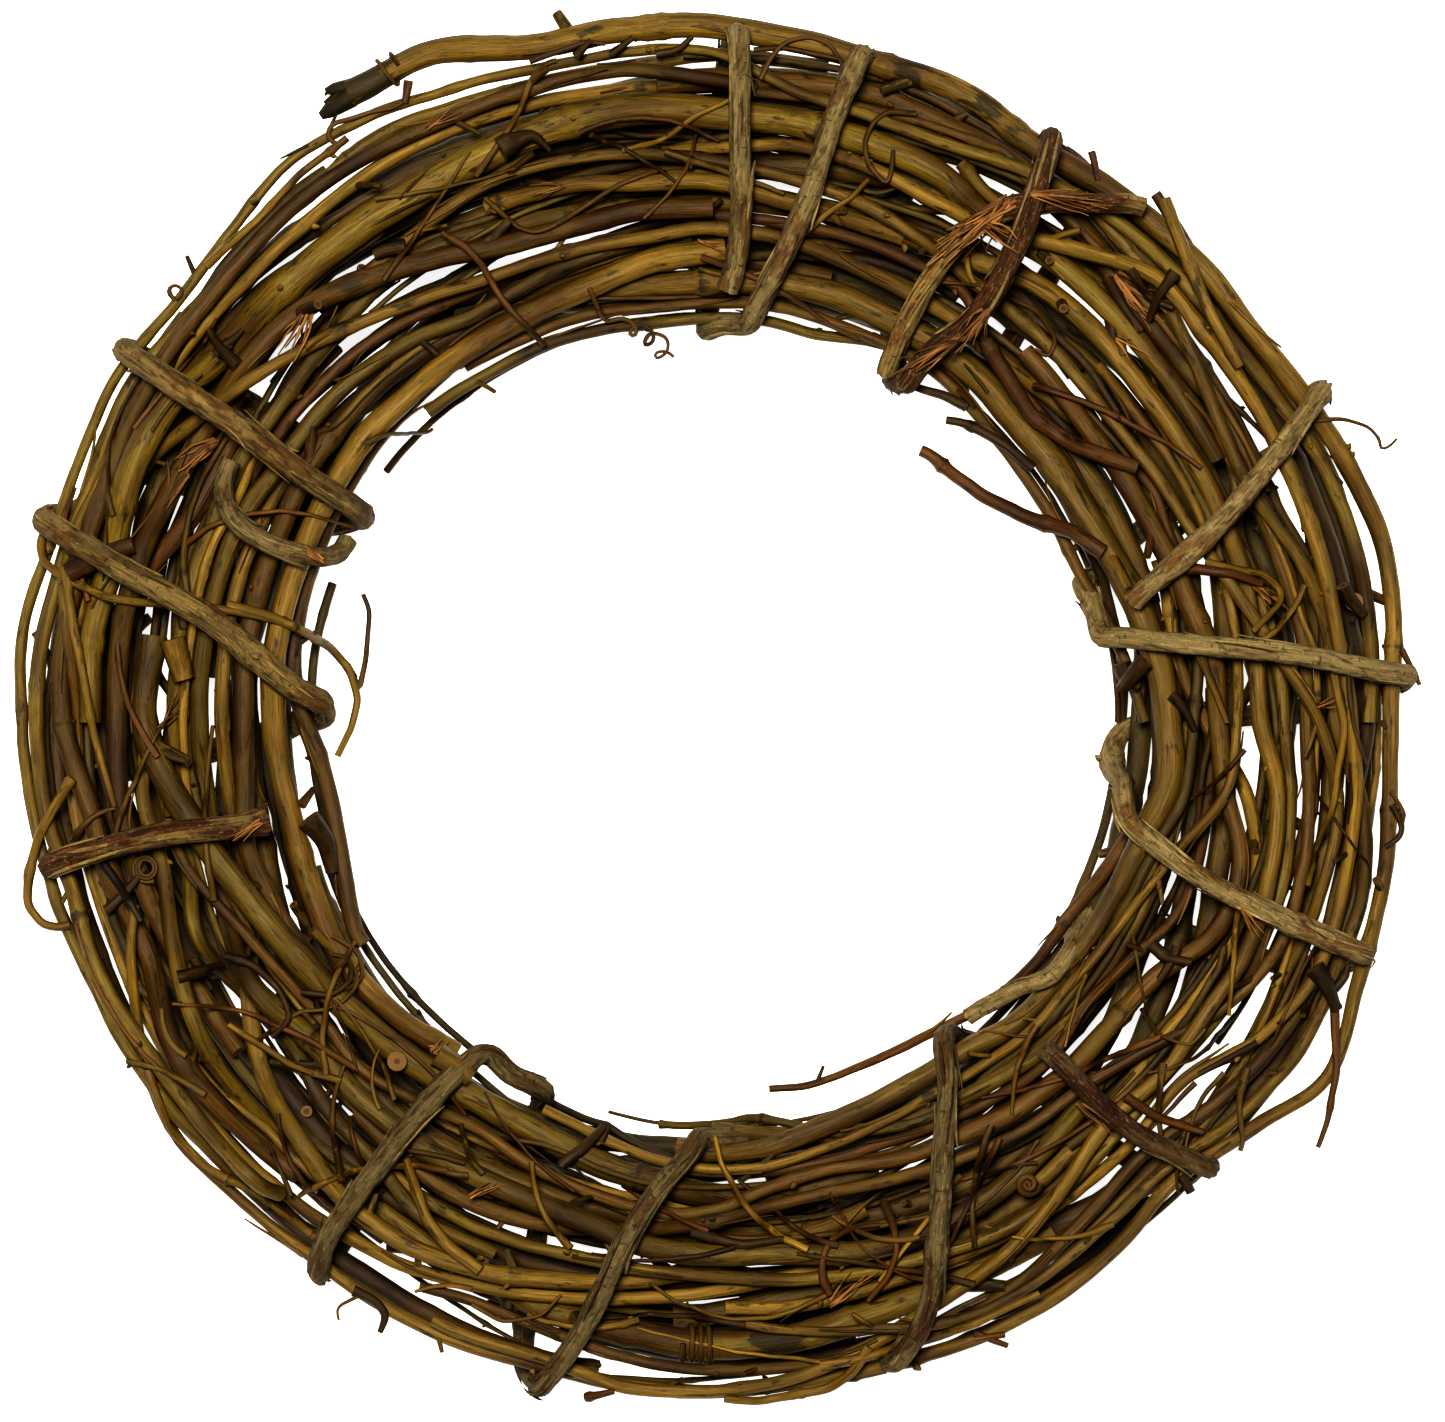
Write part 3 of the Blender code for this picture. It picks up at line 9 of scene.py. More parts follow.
import bmesh
import bpy
import numpy as np
from bpy.props import FloatProperty, FloatVectorProperty, IntProperty, PointerProperty
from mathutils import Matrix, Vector


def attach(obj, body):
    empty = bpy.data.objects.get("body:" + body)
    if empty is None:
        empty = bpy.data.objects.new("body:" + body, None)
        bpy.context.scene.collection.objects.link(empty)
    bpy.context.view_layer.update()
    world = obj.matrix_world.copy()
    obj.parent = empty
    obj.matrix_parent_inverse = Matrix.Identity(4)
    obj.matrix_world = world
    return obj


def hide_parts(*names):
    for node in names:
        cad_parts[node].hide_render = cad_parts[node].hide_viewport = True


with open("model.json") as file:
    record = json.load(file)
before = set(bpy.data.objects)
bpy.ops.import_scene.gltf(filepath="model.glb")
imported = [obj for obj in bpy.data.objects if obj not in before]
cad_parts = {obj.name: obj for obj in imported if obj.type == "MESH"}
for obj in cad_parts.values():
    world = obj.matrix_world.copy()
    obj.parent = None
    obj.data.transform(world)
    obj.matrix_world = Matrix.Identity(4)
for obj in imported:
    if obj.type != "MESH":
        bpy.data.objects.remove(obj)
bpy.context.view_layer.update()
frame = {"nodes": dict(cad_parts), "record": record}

bl_info = {
    "name": "Grapevine wreath",
    "version": (1, 0, 0),
    "blender": (4, 5, 0),
    "location": "3D View > Sidebar > Wreath",
    "description": "Dresses a coiled grapevine wreath with bark, buds, tendrils and torn bark",
    "category": "Object",
}

MM = 0.001

# The ring and its canes, as the solids have them: a cane's corners lie in upright planes through the
# ring's centre, this many degrees apart
RING_CENTRE = Vector((-1.8, -4.6, 0)) * MM
PLANE_ANGLE = 1.25
ON_PLANE = 0.004
WELD = 2e-6
FEWEST_SIDES = 5


# Settings

def how_many(title, says, value, **limits):
    return IntProperty(name=title, description=says, default=value, **limits)


def length(title, says, value, least=0.0):
    return FloatProperty(name=title, description=says, default=value, min=least, unit="LENGTH", precision=5)


def tint(title, says, *value):
    return FloatVectorProperty(name=title, description=says, default=value, subtype="COLOR", min=0, max=1)


class WreathSizes(bpy.types.PropertyGroup):
    """Sizes of the bark and of what grows on it."""

    cane_sides: how_many("Cane sides", "Corners round a cane", 14, min=6)
    binder_sides: how_many("Binder sides", "Corners round a binder vine", 26, min=8)
    cane_step: length("Cane step", "Distance between rings of corners along a cane", 1.8 * MM, 0.5 * MM)
    binder_step: length("Binder step", "Distance between rings of corners along a binder vine", 1.1 * MM,
                        0.4 * MM)
    knuckle_spacing: length("Knuckle spacing", "Usual distance between two knuckles of a vine", 44 * MM,
                            10 * MM)
    cane_ridge: length("Cane ridges", "Height of the fine ridges along a cane", 0.11 * MM)
    binder_furrow: length("Binder furrows", "Depth of the furrows in a binder vine's bark", 0.35 * MM)
    thin_canes: how_many("Thin canes", "Thin canes between the others", 66, min=0, max=160)
    crossing_twigs: how_many(
        "Crossing twigs", "Short twigs that lie aslant on the canes", 78, min=0, max=200)
    splinters: how_many("Splinters", "Loose splinters on the canes", 260, min=0, max=800)
    seed: how_many("Seed", "Changes every random draw", 7, min=0)


class WreathColours(bpy.types.PropertyGroup):
    """Colours of the bark, the bare wood and the floor."""

    tan: tint("Tan bark", "Lightest bark of the canes", 0.156, 0.097, 0.0155)
    olive: tint("Olive bark", "Greenish bark of the canes", 0.113, 0.077, 0.011)
    brown: tint("Brown bark", "Browner bark of the canes", 0.082, 0.044, 0.0075)
    red: tint("Red bark", "Reddish bark of young shoots", 0.09, 0.041, 0.009)
    binder: tint("Binder bark", "Stringy grey-tan bark of the binder vines", 0.205, 0.157, 0.076)
    dark_binder: tint("Dark binder bark", "Olive-brown bark of the oldest vines", 0.106, 0.075, 0.03)
    torn: tint("Torn fibres", "Fresh fibres where a vine is torn", 0.205, 0.108, 0.036)
    wood: tint("Bare wood", "Wood where a vine is cut or split", 0.17, 0.095, 0.032)
    floor: tint("Floor", "The pale floor", 0.85, 0.85, 0.85)


class WreathSettings(bpy.types.PropertyGroup):
    """All settings of the wreath."""

    sizes: PointerProperty(type=WreathSizes)
    colours: PointerProperty(type=WreathColours)


def settings():
    return bpy.context.scene.wreath


# Places on the wreath

def place(angle, radius, height):
    """The point at a clock angle, and a radius and height in millimetres."""
    turn = math.radians(angle)
    return RING_CENTRE + Vector((radius * math.sin(turn), radius * math.cos(turn), height)) * MM


def clock_angle(point):
    return math.degrees(math.atan2(point[0] - RING_CENTRE[0], point[1] - RING_CENTRE[1])) % 360


def polar(points):
    """Clock angles in degrees, and radii and heights in millimetres."""
    x = points[:, 0] - RING_CENTRE[0]
    y = points[:, 1] - RING_CENTRE[1]
    return np.degrees(np.arctan2(x, y)) % 360, np.hypot(x, y) / MM, points[:, 2] / MM


def turned_from(angles, angle):
    """How far these clock angles lie from one, between -180 and 180 degrees."""
    return (angles - angle + 180) % 360 - 180


# Lines of points

FEWEST_POINTS = 4


def drawn_along(line, at, places):
    """The points, or the numbers, on a line at these distances along it."""
    if line.ndim == 1:
        return np.interp(at, places, line)
    return np.array([np.interp(at, places, column) for column in line.T]).T


def distances(points):
    steps = np.linalg.norm(np.diff(points, axis=0), axis=1)
    return np.concatenate([[0], np.cumsum(steps)])


def dense(points, widths, step):
    """The same line and its widths with evenly spaced points."""
    far = distances(points)
    at = np.linspace(0, far[-1], max(int(far[-1] / step) + 1, FEWEST_POINTS))
    return drawn_along(points, at, far), np.interp(at, far, widths)


def smoothed(values, reach):
    steps = np.arange(-3 * reach, 3 * reach + 1)
    weights = np.exp(-0.5 * (steps / reach) ** 2)
    padded = np.pad(values, 3 * reach, mode="edge")
    return np.convolve(padded, weights / weights.sum(), mode="valid")


def spread_max(values, reach):
    return np.array([values[max(i - reach, 0):i + reach + 1].max() for i in range(len(values))])


def normalised(ways):
    return ways / np.linalg.norm(ways, axis=1)[:, None]


# Centrelines of the solids

def neighbours(mesh):
    return [[edge.other_vert(vert).index for edge in vert.link_edges] for vert in mesh.verts]


def plane_rings(mesh):
    """The corners of a cane, ring by ring: each ring lies in an upright plane through the ring's centre."""
    beside = neighbours(mesh)
    steps = [clock_angle(vert.co) / PLANE_ANGLE for vert in mesh.verts]
    plane = [round(step) if abs(step - round(step)) < ON_PLANE else None for step in steps]
    ring_of = {}
    rings = []
    for start in range(len(plane)):
        if plane[start] is None or start in ring_of:
            continue
        ring = [start]
        ring_of[start] = len(rings)
        for vert in ring:
            for other in beside[vert]:
                if other not in ring_of and plane[other] == plane[start]:
                    ring_of[other] = len(rings)
                    ring.append(other)
        rings.append(ring)
    joined = [set() for ring in rings]
    for vert, number in ring_of.items():
        for other in beside[vert]:
            if other in ring_of and ring_of[other] != number:
                joined[number].add(ring_of[other])
    whole = [len(ring) >= FEWEST_SIDES for ring in rings]
    joined = [{other for other in links if whole[other]} for links in joined]
    walk = [next(i for i, links in enumerate(joined) if whole[i] and len(links) == 1)]
    while True:
        onward = [other for other in joined[walk[-1]] if other not in walk[-2:]]
        if not onward or onward[0] in walk:
            break
        walk.append(onward[0])
    if len(walk) != sum(whole):
        raise RuntimeError(f"a cane has {sum(whole)} rings, and the walk along it met {len(walk)}")
    return [rings[i] for i in walk]


def levels_from(beside, start):
    """How many edges each corner is from this one, nearest first."""
    level = {start: 0}
    order = [start]
    for vert in order:
        for other in beside[vert]:
            if other not in level:
                level[other] = level[vert] + 1
                order.append(other)
    return level


def tube_rings(mesh):
    """The corners of a plain tube, ring by ring, counted from the tip at one end."""
    beside = neighbours(mesh)
    tip = list(levels_from(beside, 0))[-1]
    rings = {}
    for vert, level in levels_from(beside, tip).items():
        rings.setdefault(level, []).append(vert)
    return [ring for ring in rings.values() if len(ring) >= FEWEST_SIDES]


def centreline(node):
    """Points along the middle of a CAD node's tube and its diameter at each, in metres."""
    mesh = bmesh.new()
    mesh.from_mesh(frame["nodes"][node].data)
    bmesh.ops.remove_doubles(mesh, verts=mesh.verts, dist=WELD)
    mesh.verts.index_update()
    mesh.verts.ensure_lookup_table()
    rings = plane_rings(mesh) if node.startswith("cane") else tube_rings(mesh)
    corners = [np.array([mesh.verts[i].co for i in ring], float) for ring in rings]
    mesh.free()
    points = np.array([ring.mean(0) for ring in corners])
    widths = []
    for ring, point, way in zip(corners, points, normalised(np.gradient(points, axis=0))):
        off = ring - point
        off -= np.outer(off @ way, way)
        sides = len(ring)
        same_area = math.sqrt(2 * math.pi / (sides * math.sin(2 * math.pi / sides)))
        widths.append(2 * np.linalg.norm(off, axis=1).mean() / same_area)
    return points, np.array(widths)


# Node trees

class Wire:
    """A node's output. A sum or product of wires is a node in the same tree."""

    def __init__(self, graph, socket):
        self.graph = graph
        self.socket = socket

    def __add__(self, other):
        return self.graph.math("ADD", self, other)

    def __sub__(self, other):
        return self.graph.math("SUBTRACT", self, other)

    def __rsub__(self, other):
        return self.graph.math("SUBTRACT", other, self)

    def __mul__(self, other):
        return self.graph.math("MULTIPLY", self, other)

    def __truediv__(self, other):
        return self.graph.math("DIVIDE", self, other)


class Graph:
    """Adds nodes to a tree and links them by socket."""

    def __init__(self, tree):
        self.tree = tree

    def add(self, kind, inputs=None, **options):
        node = self.tree.nodes.new(kind)
        for name, value in options.items():
            setattr(node, name, value)
        for key, value in (inputs or {}).items():
            if isinstance(key, int):
                socket = node.inputs[key]
            else:
                socket = next(s for s in node.inputs if s.name == key and s.enabled)
            self.feed(socket, value)
        return node

    def feed(self, socket, value):
        if isinstance(value, bpy.types.Node):
            value = self.first_of(value)
        if isinstance(value, Wire):
            self.tree.links.new(value.socket, socket)
        else:
            socket.default_value = value

    def first_of(self, node):
        return Wire(self, next(s for s in node.outputs if s.enabled))

    def out(self, kind, inputs=None, output=None, **options):
        """A new node's output: the one of this name, or else the first that is in use."""
        node = self.add(kind, inputs, **options)
        return Wire(self, node.outputs[output]) if output else self.first_of(node)

    def math(self, operation, *values):
        return self.out("ShaderNodeMath", dict(enumerate(values)), operation=operation)

    def vector(self, operation, *values):
        return self.out("ShaderNodeVectorMath", dict(enumerate(values)), operation=operation)

    def scaled(self, vector, factor):
        return self.out("ShaderNodeVectorMath", {0: vector, 3: factor}, operation="SCALE")

    def combine(self, x=0.0, y=0.0, z=0.0):
        return self.out("ShaderNodeCombineXYZ", {0: x, 1: y, 2: z})

    def separate(self, vector):
        node = self.add("ShaderNodeSeparateXYZ", {0: vector})
        return [Wire(self, socket) for socket in node.outputs]

    def noise(self, vector, scale=1.0, detail=2.0, roughness=0.5, output=None):
        values = {"Vector": vector, "Scale": scale, "Detail": detail, "Roughness": roughness}
        return self.out("ShaderNodeTexNoise", values, output)

    def named(self, name, kind="FLOAT"):
        return self.out("GeometryNodeInputNamedAttribute", {"Name": name}, data_type=kind)

    def stored(self, geometry, name, value, kind="FLOAT"):
        values = {"Geometry": geometry, "Name": name, "Value": value}
        return self.add("GeometryNodeStoreNamedAttribute", values, data_type=kind, domain="POINT")

    def moved(self, geometry, offset):
        return self.add("GeometryNodeSetPosition", {"Geometry": geometry, "Offset": offset})


# The vine tree's inputs: name, kind of socket, default and subtype
VINE_TREE = "Vine along a path"
VINE_INPUTS = (
    ("Sides", "Int", 14, None),
    ("Step", "Float", 0.0018, "DISTANCE"),
    ("Waver", "Float", 0.0003, "DISTANCE"),
    ("Waver Length", "Float", 0.03, "DISTANCE"),
    ("Lumpiness", "Float", 0.12, "FACTOR"),
    ("Knuckle Spacing", "Float", 0.06, "DISTANCE"),
    ("Knuckle Length", "Float", 0.0032, "DISTANCE"),
    ("Knuckle Swelling", "Float", 0.28, "FACTOR"),
    ("Ridge Height", "Float", 0.0001, "DISTANCE"),
    ("Ridge Width", "Float", 0.0008, "DISTANCE"),
    ("Ridge Length", "Float", 0.012, "DISTANCE"),
    ("Furrow Depth", "Float", 0.0, "DISTANCE"),
    ("Bud Share", "Float", 0.7, "FACTOR"),
    ("Bud Size", "Float", 0.0011, "DISTANCE"),
    ("Seed", "Int", 0, None),
    ("Bark", "Material", None, None),
    ("Wood", "Material", None, None),
)

# How a vine's own number shifts its knuckles, its grain and the turn of its buds
OWN_BEAT = 0.377
OWN_GRAIN = 0.613
OWN_TURN = 2.4

# How uneven the knuckles' spacing is, how close the lumps are, and how sharp the furrows
BEAT_NOISE = 0.7
BEAT_UNEVEN = 1.1
LUMPS = 80.0
FURROW_SHARPNESS = 9.0

# Buds: corners, taper, lift off the foot, grain, range and seed of their sizes, lean along the vine, and how
# far out their feet sit, as a share of the vine's half width
BUD_SEGMENTS = 8
BUD_RINGS = 7
BUD_WAIST = 0.72
BUD_TAPER = 0.75
BUD_LIFT = 0.3
BUD_GRAIN = 0.002
BUD_SIZES = (1.0, 2.1)
BUD_DRAW = 5
BUD_LEAN = 0.8
BUD_FOOT = 0.9


def vine_inputs():
    """An empty Geometry Nodes tree with the vine tree's named inputs."""
    tree = bpy.data.node_groups.new(VINE_TREE, "GeometryNodeTree")
    tree.is_modifier = True
    tree.interface.new_socket("Geometry", in_out="INPUT", socket_type="NodeSocketGeometry")
    for title, kind, default, subtype in VINE_INPUTS:
        socket = tree.interface.new_socket(title, in_out="INPUT", socket_type=f"NodeSocket{kind}")
        if subtype:
            socket.subtype = subtype
        if default is not None:
            socket.default_value = default
    tree.interface.new_socket("Geometry", in_out="OUTPUT", socket_type="NodeSocketGeometry")
    return tree


def bud_shape(graph):
    """A pointed bud, one unit long, standing on the origin along Z."""
    ball = graph.out("GeometryNodeMeshUVSphere", {
        "Segments": BUD_SEGMENTS, "Rings": BUD_RINGS, "Radius": 0.5}, "Mesh")
    here = graph.out("GeometryNodeInputPosition")
    x, y, z = graph.separate(here)
    slim = BUD_WAIST - z * BUD_TAPER
    point = graph.combine(x * slim, y * slim, z + BUD_LIFT)
    shaped = graph.add("GeometryNodeSetPosition", {"Geometry": ball, "Position": point})
    return graph.stored(shaped, "grain", graph.scaled(here, BUD_GRAIN), "FLOAT_VECTOR")


def vine_tree():
    """The tree that grows a vine along each chain of points: bark ridges, knuckles, buds and cut ends."""
    tree = vine_inputs()
    graph = Graph(tree)
    given = {socket.name: Wire(graph, socket) for socket in graph.add("NodeGroupInput").outputs}
    chains = graph.add("GeometryNodeMeshToCurve", {"Mesh": given["Geometry"]})
    smooth = graph.add("GeometryNodeCurveSplineType", {"Curve": chains}, spline_type="CATMULL_ROM")
    curve = graph.add("GeometryNodeResampleCurve", {"Curve": smooth, "Length": given["Step"]}, mode="LENGTH")
    along = graph.out("GeometryNodeSplineParameter", output="Length")
    here = graph.out("GeometryNodeInputPosition")
    normal = graph.out("GeometryNodeInputNormal", output="Normal")
    tangent = graph.out("GeometryNodeInputTangent")
    own = graph.named("own") + given["Seed"]
    thick = graph.named("thick")

    # A little waver off the smooth line
    field = graph.vector("DIVIDE", here, graph.combine(*[given["Waver Length"]] * 3))
    drawn = graph.noise(graph.vector("ADD", field, graph.combine(own, 0.0, own)), detail=2.5, output="Color")
    sway = graph.vector("SUBTRACT", drawn, (0.5, 0.5, 0.5))
    curve = graph.moved(curve, graph.scaled(sway, given["Waver"] * 2.0))

    # Knuckles, unevenly spaced
    beat = along / given["Knuckle Spacing"] + own * OWN_BEAT
    beat = beat + graph.noise(graph.combine(beat, own), BEAT_NOISE, 0.0) * BEAT_UNEVEN
    away = (graph.math("FRACT", beat) - 0.5) * given["Knuckle Spacing"]
    reach = away / given["Knuckle Length"]
    number = graph.math("FLOOR", beat)
    strength = graph.out("ShaderNodeTexWhiteNoise", {"Vector": graph.combine(number, own)}, "Value",
                         noise_dimensions="3D")
    knuckle = graph.math("EXPONENT", reach * reach * -1.0) * strength
    lump = (graph.noise(graph.combine(along * LUMPS, own, 3.7), detail=3.0) - 0.5) * given["Lumpiness"]
    swell = knuckle * given["Knuckle Swelling"]
    curve = graph.stored(curve, "knuckle", knuckle)
    curve = graph.stored(curve, "along", along)
    curve = graph.stored(curve, "thick", graph.named("width") * 0.5 * (swell + lump + 1.0))

    # The skin, with ridges and furrows along it
    circle = graph.add("GeometryNodeCurvePrimitiveCircle", {"Resolution": given["Sides"], "Radius": 1.0},
                       mode="RADIUS")
    circle = graph.stored(circle, "spoke", here, "FLOAT_VECTOR")
    skin = graph.add("GeometryNodeCurveToMesh", {
        "Curve": curve, "Profile Curve": circle, "Scale": thick, "Fill Caps": True})
    spoke = graph.scaled(graph.named("spoke", "FLOAT_VECTOR"), thick)
    far = graph.combine(z=graph.named("along") + own * OWN_GRAIN)
    skin = graph.stored(skin, "grain", graph.vector("ADD", spoke, far), "FLOAT_VECTOR")
    ridge = graph.combine(given["Ridge Width"], given["Ridge Width"], given["Ridge Length"])
    fine = graph.vector("DIVIDE", graph.named("grain", "FLOAT_VECTOR"), ridge)
    rise = (graph.noise(fine, roughness=0.6) - 0.5) * (given["Ridge Height"] * 2.0)
    cracks = graph.noise(graph.vector("ADD", fine, (11.3, 4.1, 7.7)), detail=1.0)
    split = graph.math("POWER", 1.0 - graph.math("ABSOLUTE", cracks * 2.0 - 1.0), FURROW_SHARPNESS)
    skin = graph.stored(skin, "furrow", split)
    skin = graph.moved(skin, graph.scaled(normal, rise - split * given["Furrow Depth"]))

    # Buds at the knuckles, on alternate sides
    at_knuckle = graph.math("LESS_THAN", graph.math("ABSOLUTE", away), given["Step"] * 0.5)
    lucky = graph.math("GREATER_THAN", strength, 1.0 - given["Bud Share"])
    turn = number * math.pi + own * OWN_TURN
    aside = graph.scaled(graph.vector("CROSS_PRODUCT", tangent, normal), graph.math("SINE", turn))
    side = graph.vector("ADD", graph.scaled(normal, graph.math("COSINE", turn)), aside)
    curve = graph.stored(curve, "side", side, "FLOAT_VECTOR")
    curve = graph.stored(curve, "way", tangent, "FLOAT_VECTOR")
    curve = graph.stored(curve, "chosen", at_knuckle * lucky)
    side = graph.named("side", "FLOAT_VECTOR")
    spots = graph.moved(curve, graph.scaled(side, thick * BUD_FOOT))
    lean = graph.vector("ADD", graph.scaled(graph.named("way", "FLOAT_VECTOR"), BUD_LEAN), side)
    facing = graph.add("FunctionNodeAlignRotationToVector", {"Vector": lean}, axis="Z")
    sizes = graph.out("FunctionNodeRandomValue", {
        "Min": BUD_SIZES[0], "Max": BUD_SIZES[1], "Seed": BUD_DRAW}, data_type="FLOAT")
    size = sizes * graph.math("MINIMUM", thick, given["Bud Size"])
    buds = graph.add("GeometryNodeInstanceOnPoints", {
        "Points": spots, "Selection": graph.math("GREATER_THAN", graph.named("chosen"), 0.5),
        "Instance": bud_shape(graph), "Rotation": facing, "Scale": graph.combine(size, size, size)})

    # One mesh, with flat cut ends of bare wood
    joined = graph.add("GeometryNodeJoinGeometry")
    for part in (buds, skin):
        tree.links.new(part.outputs[0], joined.inputs[0])
    real = graph.add("GeometryNodeRealizeInstances", {"Geometry": joined})
    corners = graph.out("GeometryNodeInputMeshFaceNeighbors", output="Vertex Count")
    is_cut = graph.out("FunctionNodeCompare", {"A": corners, "B": 4}, data_type="INT",
                       operation="GREATER_THAN")
    soft = graph.add("GeometryNodeSetShadeSmooth", {"Geometry": real, "Shade Smooth": True}, domain="FACE")
    soft = graph.add("GeometryNodeSetShadeSmooth", {
        "Geometry": soft, "Selection": is_cut, "Shade Smooth": False}, domain="FACE")
    dressed = graph.add("GeometryNodeSetMaterial", {"Geometry": soft, "Material": given["Bark"]})
    dressed = graph.add("GeometryNodeSetMaterial", {
        "Geometry": dressed, "Selection": is_cut, "Material": given["Wood"]})
    graph.feed(graph.add("NodeGroupOutput").inputs["Geometry"], dressed)
    return tree


# Strands, which the vine tree grows into vines

STRAND_VALUES = ("width", "shade", "own", "red", "stain")


def strand(points, width, shade=1.0, own=0.0, red=0.0, stain=0.0):
    """A chain of points, with values that are the same all along or differ from point to point."""
    return {"points": points, "width": width, "shade": shade, "own": own, "red": red, "stain": stain}


def chain_object(name, strands):
    verts = []
    edges = []
    values = {title: [] for title in STRAND_VALUES}
    for item in strands:
        first = len(verts)
        verts.extend(tuple(point) for point in item["points"])
        edges.extend((i, i + 1) for i in range(first, len(verts) - 1))
        for title, row in values.items():
            row.extend(np.broadcast_to(item[title], len(verts) - first))
    mesh = bpy.data.meshes.new(name)
    mesh.from_pydata(verts, edges, [])
    for title, row in values.items():
        mesh.attributes.new(title, "FLOAT", "POINT").data.foreach_set("value", np.array(row, np.float32))
    thing = bpy.data.objects.new(name, mesh)
    bpy.context.scene.collection.objects.link(thing)
    return thing


def grown(name, strands, bark, values):
    """A finished piece: the vine tree run along these strands, as a plain mesh."""
    thing = chain_object(name, strands)
    tree = bpy.data.node_groups.get(VINE_TREE) or vine_tree()
    modifier = thing.modifiers.new("vine", "NODES")
    modifier.node_group = tree
    given = {**values, "Bark": bark, "Wood": finish("bare_wood", bare_wood)}
    for item in tree.interface.items_tree:
        if item.in_out == "INPUT" and item.name in given:
            modifier[item.identifier] = given[item.name]
    seen = thing.evaluated_get(bpy.context.evaluated_depsgraph_get())
    mesh = bpy.data.meshes.new_from_object(seen)
    thing.modifiers.clear()
    bare = thing.data
    thing.data = mesh
    bpy.data.meshes.remove(bare)
    if not mesh.polygons:
        raise RuntimeError(f"{name} has no faces")
    return thing


# Finishes

# Patterns in bark: how fine they are across and along the vine, detail and roughness. Specks and the rings
# of bare wood only say how fine they are
CANE_STREAKS = (1500, 50, 4, 0.62)
CANE_HAIRS = (5200, 170, 3, 0.65)
CANE_TONES = (90, 22, 2, 0.5)
CANE_PATCHES = (330, 60, 4, 0.6)
CANE_WEAR = (520, 130, 4, 0.68)
CANE_FIBRE = (3600, 200, 4, 0.7)
CANE_SPECKS = (900, 900, 420)
BINDER_STRINGS = (2300, 75, 5, 0.72)
BINDER_PATCHES = (300, 50, 3, 0.6)
BINDER_FLECKS = (2600, 800, 3, 0.6)
BINDER_BLOTCHES = (210, 95, 4, 0.65)
BINDER_CRACKS = (380, 1500, 2, 0.5)
BINDER_FIBRE = (3000, 300, 4, 0.7)
WOOD_RAYS = (3200, 600, 4, 0.7)
WOOD_RINGS = 14000.0

# Tints that multiply the bark's colour, the rust of torn old bark, and what the palest bark adds to its
# colour: partly paler bark and flecks, partly a painted sheen that whitens the lightest streaks
HAIR_TINTS = ((0.34, (0.5, 0.4, 0.3)), (0.46, (1, 1, 1)), (0.68, (1.15, 1.13, 1.05)))
BLOTCH_TINT = (0.6, 0.42, 0.3)
RUST = (0.078, 0.036, 0.015)
PALE_AND_SHEEN_LIFT = (0.016, 0.0125, 0.003)

# The specular level of bark, and the dark binder slot's two colours as multiples of the dark binder bark
BARK_GLOSS = 0.3
DARK_SLOT_COLOUR = 1.9
DARK_SLOT_DEEP = 0.6


def finish(name, make):
    return bpy.data.materials.get(name) or make(name)


def surface(name, roughness):
    """A new material, its graph and its shader."""
    material = bpy.data.materials.new(name)
    material.use_nodes = True
    graph = Graph(material.node_tree)
    shader = material.node_tree.nodes["Principled BSDF"]
    shader.inputs["Roughness"].default_value = roughness
    shader.inputs["Metallic"].default_value = 0
    shader.inputs["Specular IOR Level"].default_value = BARK_GLOSS
    return material, graph, shader


def attribute(graph, name, output="Fac"):
    return graph.out("ShaderNodeAttribute", output=output, attribute_name=name, attribute_type="GEOMETRY")


def pattern(graph, grain, look):
    """Noise that follows the vine. Its look is one of the patterns above."""
    across, along, detail, roughness = look
    stretched = graph.vector("MULTIPLY", grain, (across, across, along))
    return graph.noise(stretched, detail=detail, roughness=roughness)


def ramp(graph, value, stops):
    """A colour ramp from a list of places and colours."""
    node = graph.add("ShaderNodeValToRGB", {0: value})
    elements = node.color_ramp.elements
    while len(elements) < len(stops):
        elements.new(0.5)
    for element, (at, colour) in zip(elements, stops):
        element.position = at
        element.color = full(colour)
    return graph.first_of(node)


def mix(graph, factor, one, other, blend="MIX"):
    node = graph.add("ShaderNodeMix", data_type="RGBA", blend_type=blend)
    for number, value in ((0, factor), (6, one), (7, other)):
        graph.feed(node.inputs[number], full(value) if isinstance(value, tuple) else value)
    return Wire(graph, node.outputs[2])


def times(colour, factor):
    return tuple(min(channel * factor, 1) for channel in colour[:3])


def paler(colour, factor):
    """Brighter and a little paler: partly paler bark, partly a painted sheen that stands in for whitish
    highlights.
    """
    return tuple(min(channel * factor + lift, 1) for channel, lift in zip(colour, PALE_AND_SHEEN_LIFT))


def full(colour):
    return (*colour[:3], 1)


def between(graph, value, low, high):
    """Runs from 0 to 1 as the value goes from low to high."""
    return graph.out("ShaderNodeMapRange", {"Value": value, "From Min": low, "From Max": high},
                     interpolation_type="SMOOTHSTEP")


def laid_over(graph, base, value, low, high, amount, colour):
    """This much of a colour over the base, where the value goes from low to high."""
    return mix(graph, between(graph, value, low, high) * amount, base, colour)


def shaded(graph, shader, base):
    """Feeds the shader this colour, darker or lighter by the vine's shade value: its own tone, and for canes
    deep in the bundle a painted shade.
    """
    shade = attribute(graph, "shade")
    base = mix(graph, 1.0, base, graph.combine(shade, shade, shade), "MULTIPLY")
    graph.feed(shader.inputs["Base Color"], base)


def raised(graph, shader, height, strength, depth):
    graph.feed(shader.inputs["Normal"], graph.add("ShaderNodeBump", {
        "Strength": strength, "Distance": depth, "Height": height}))


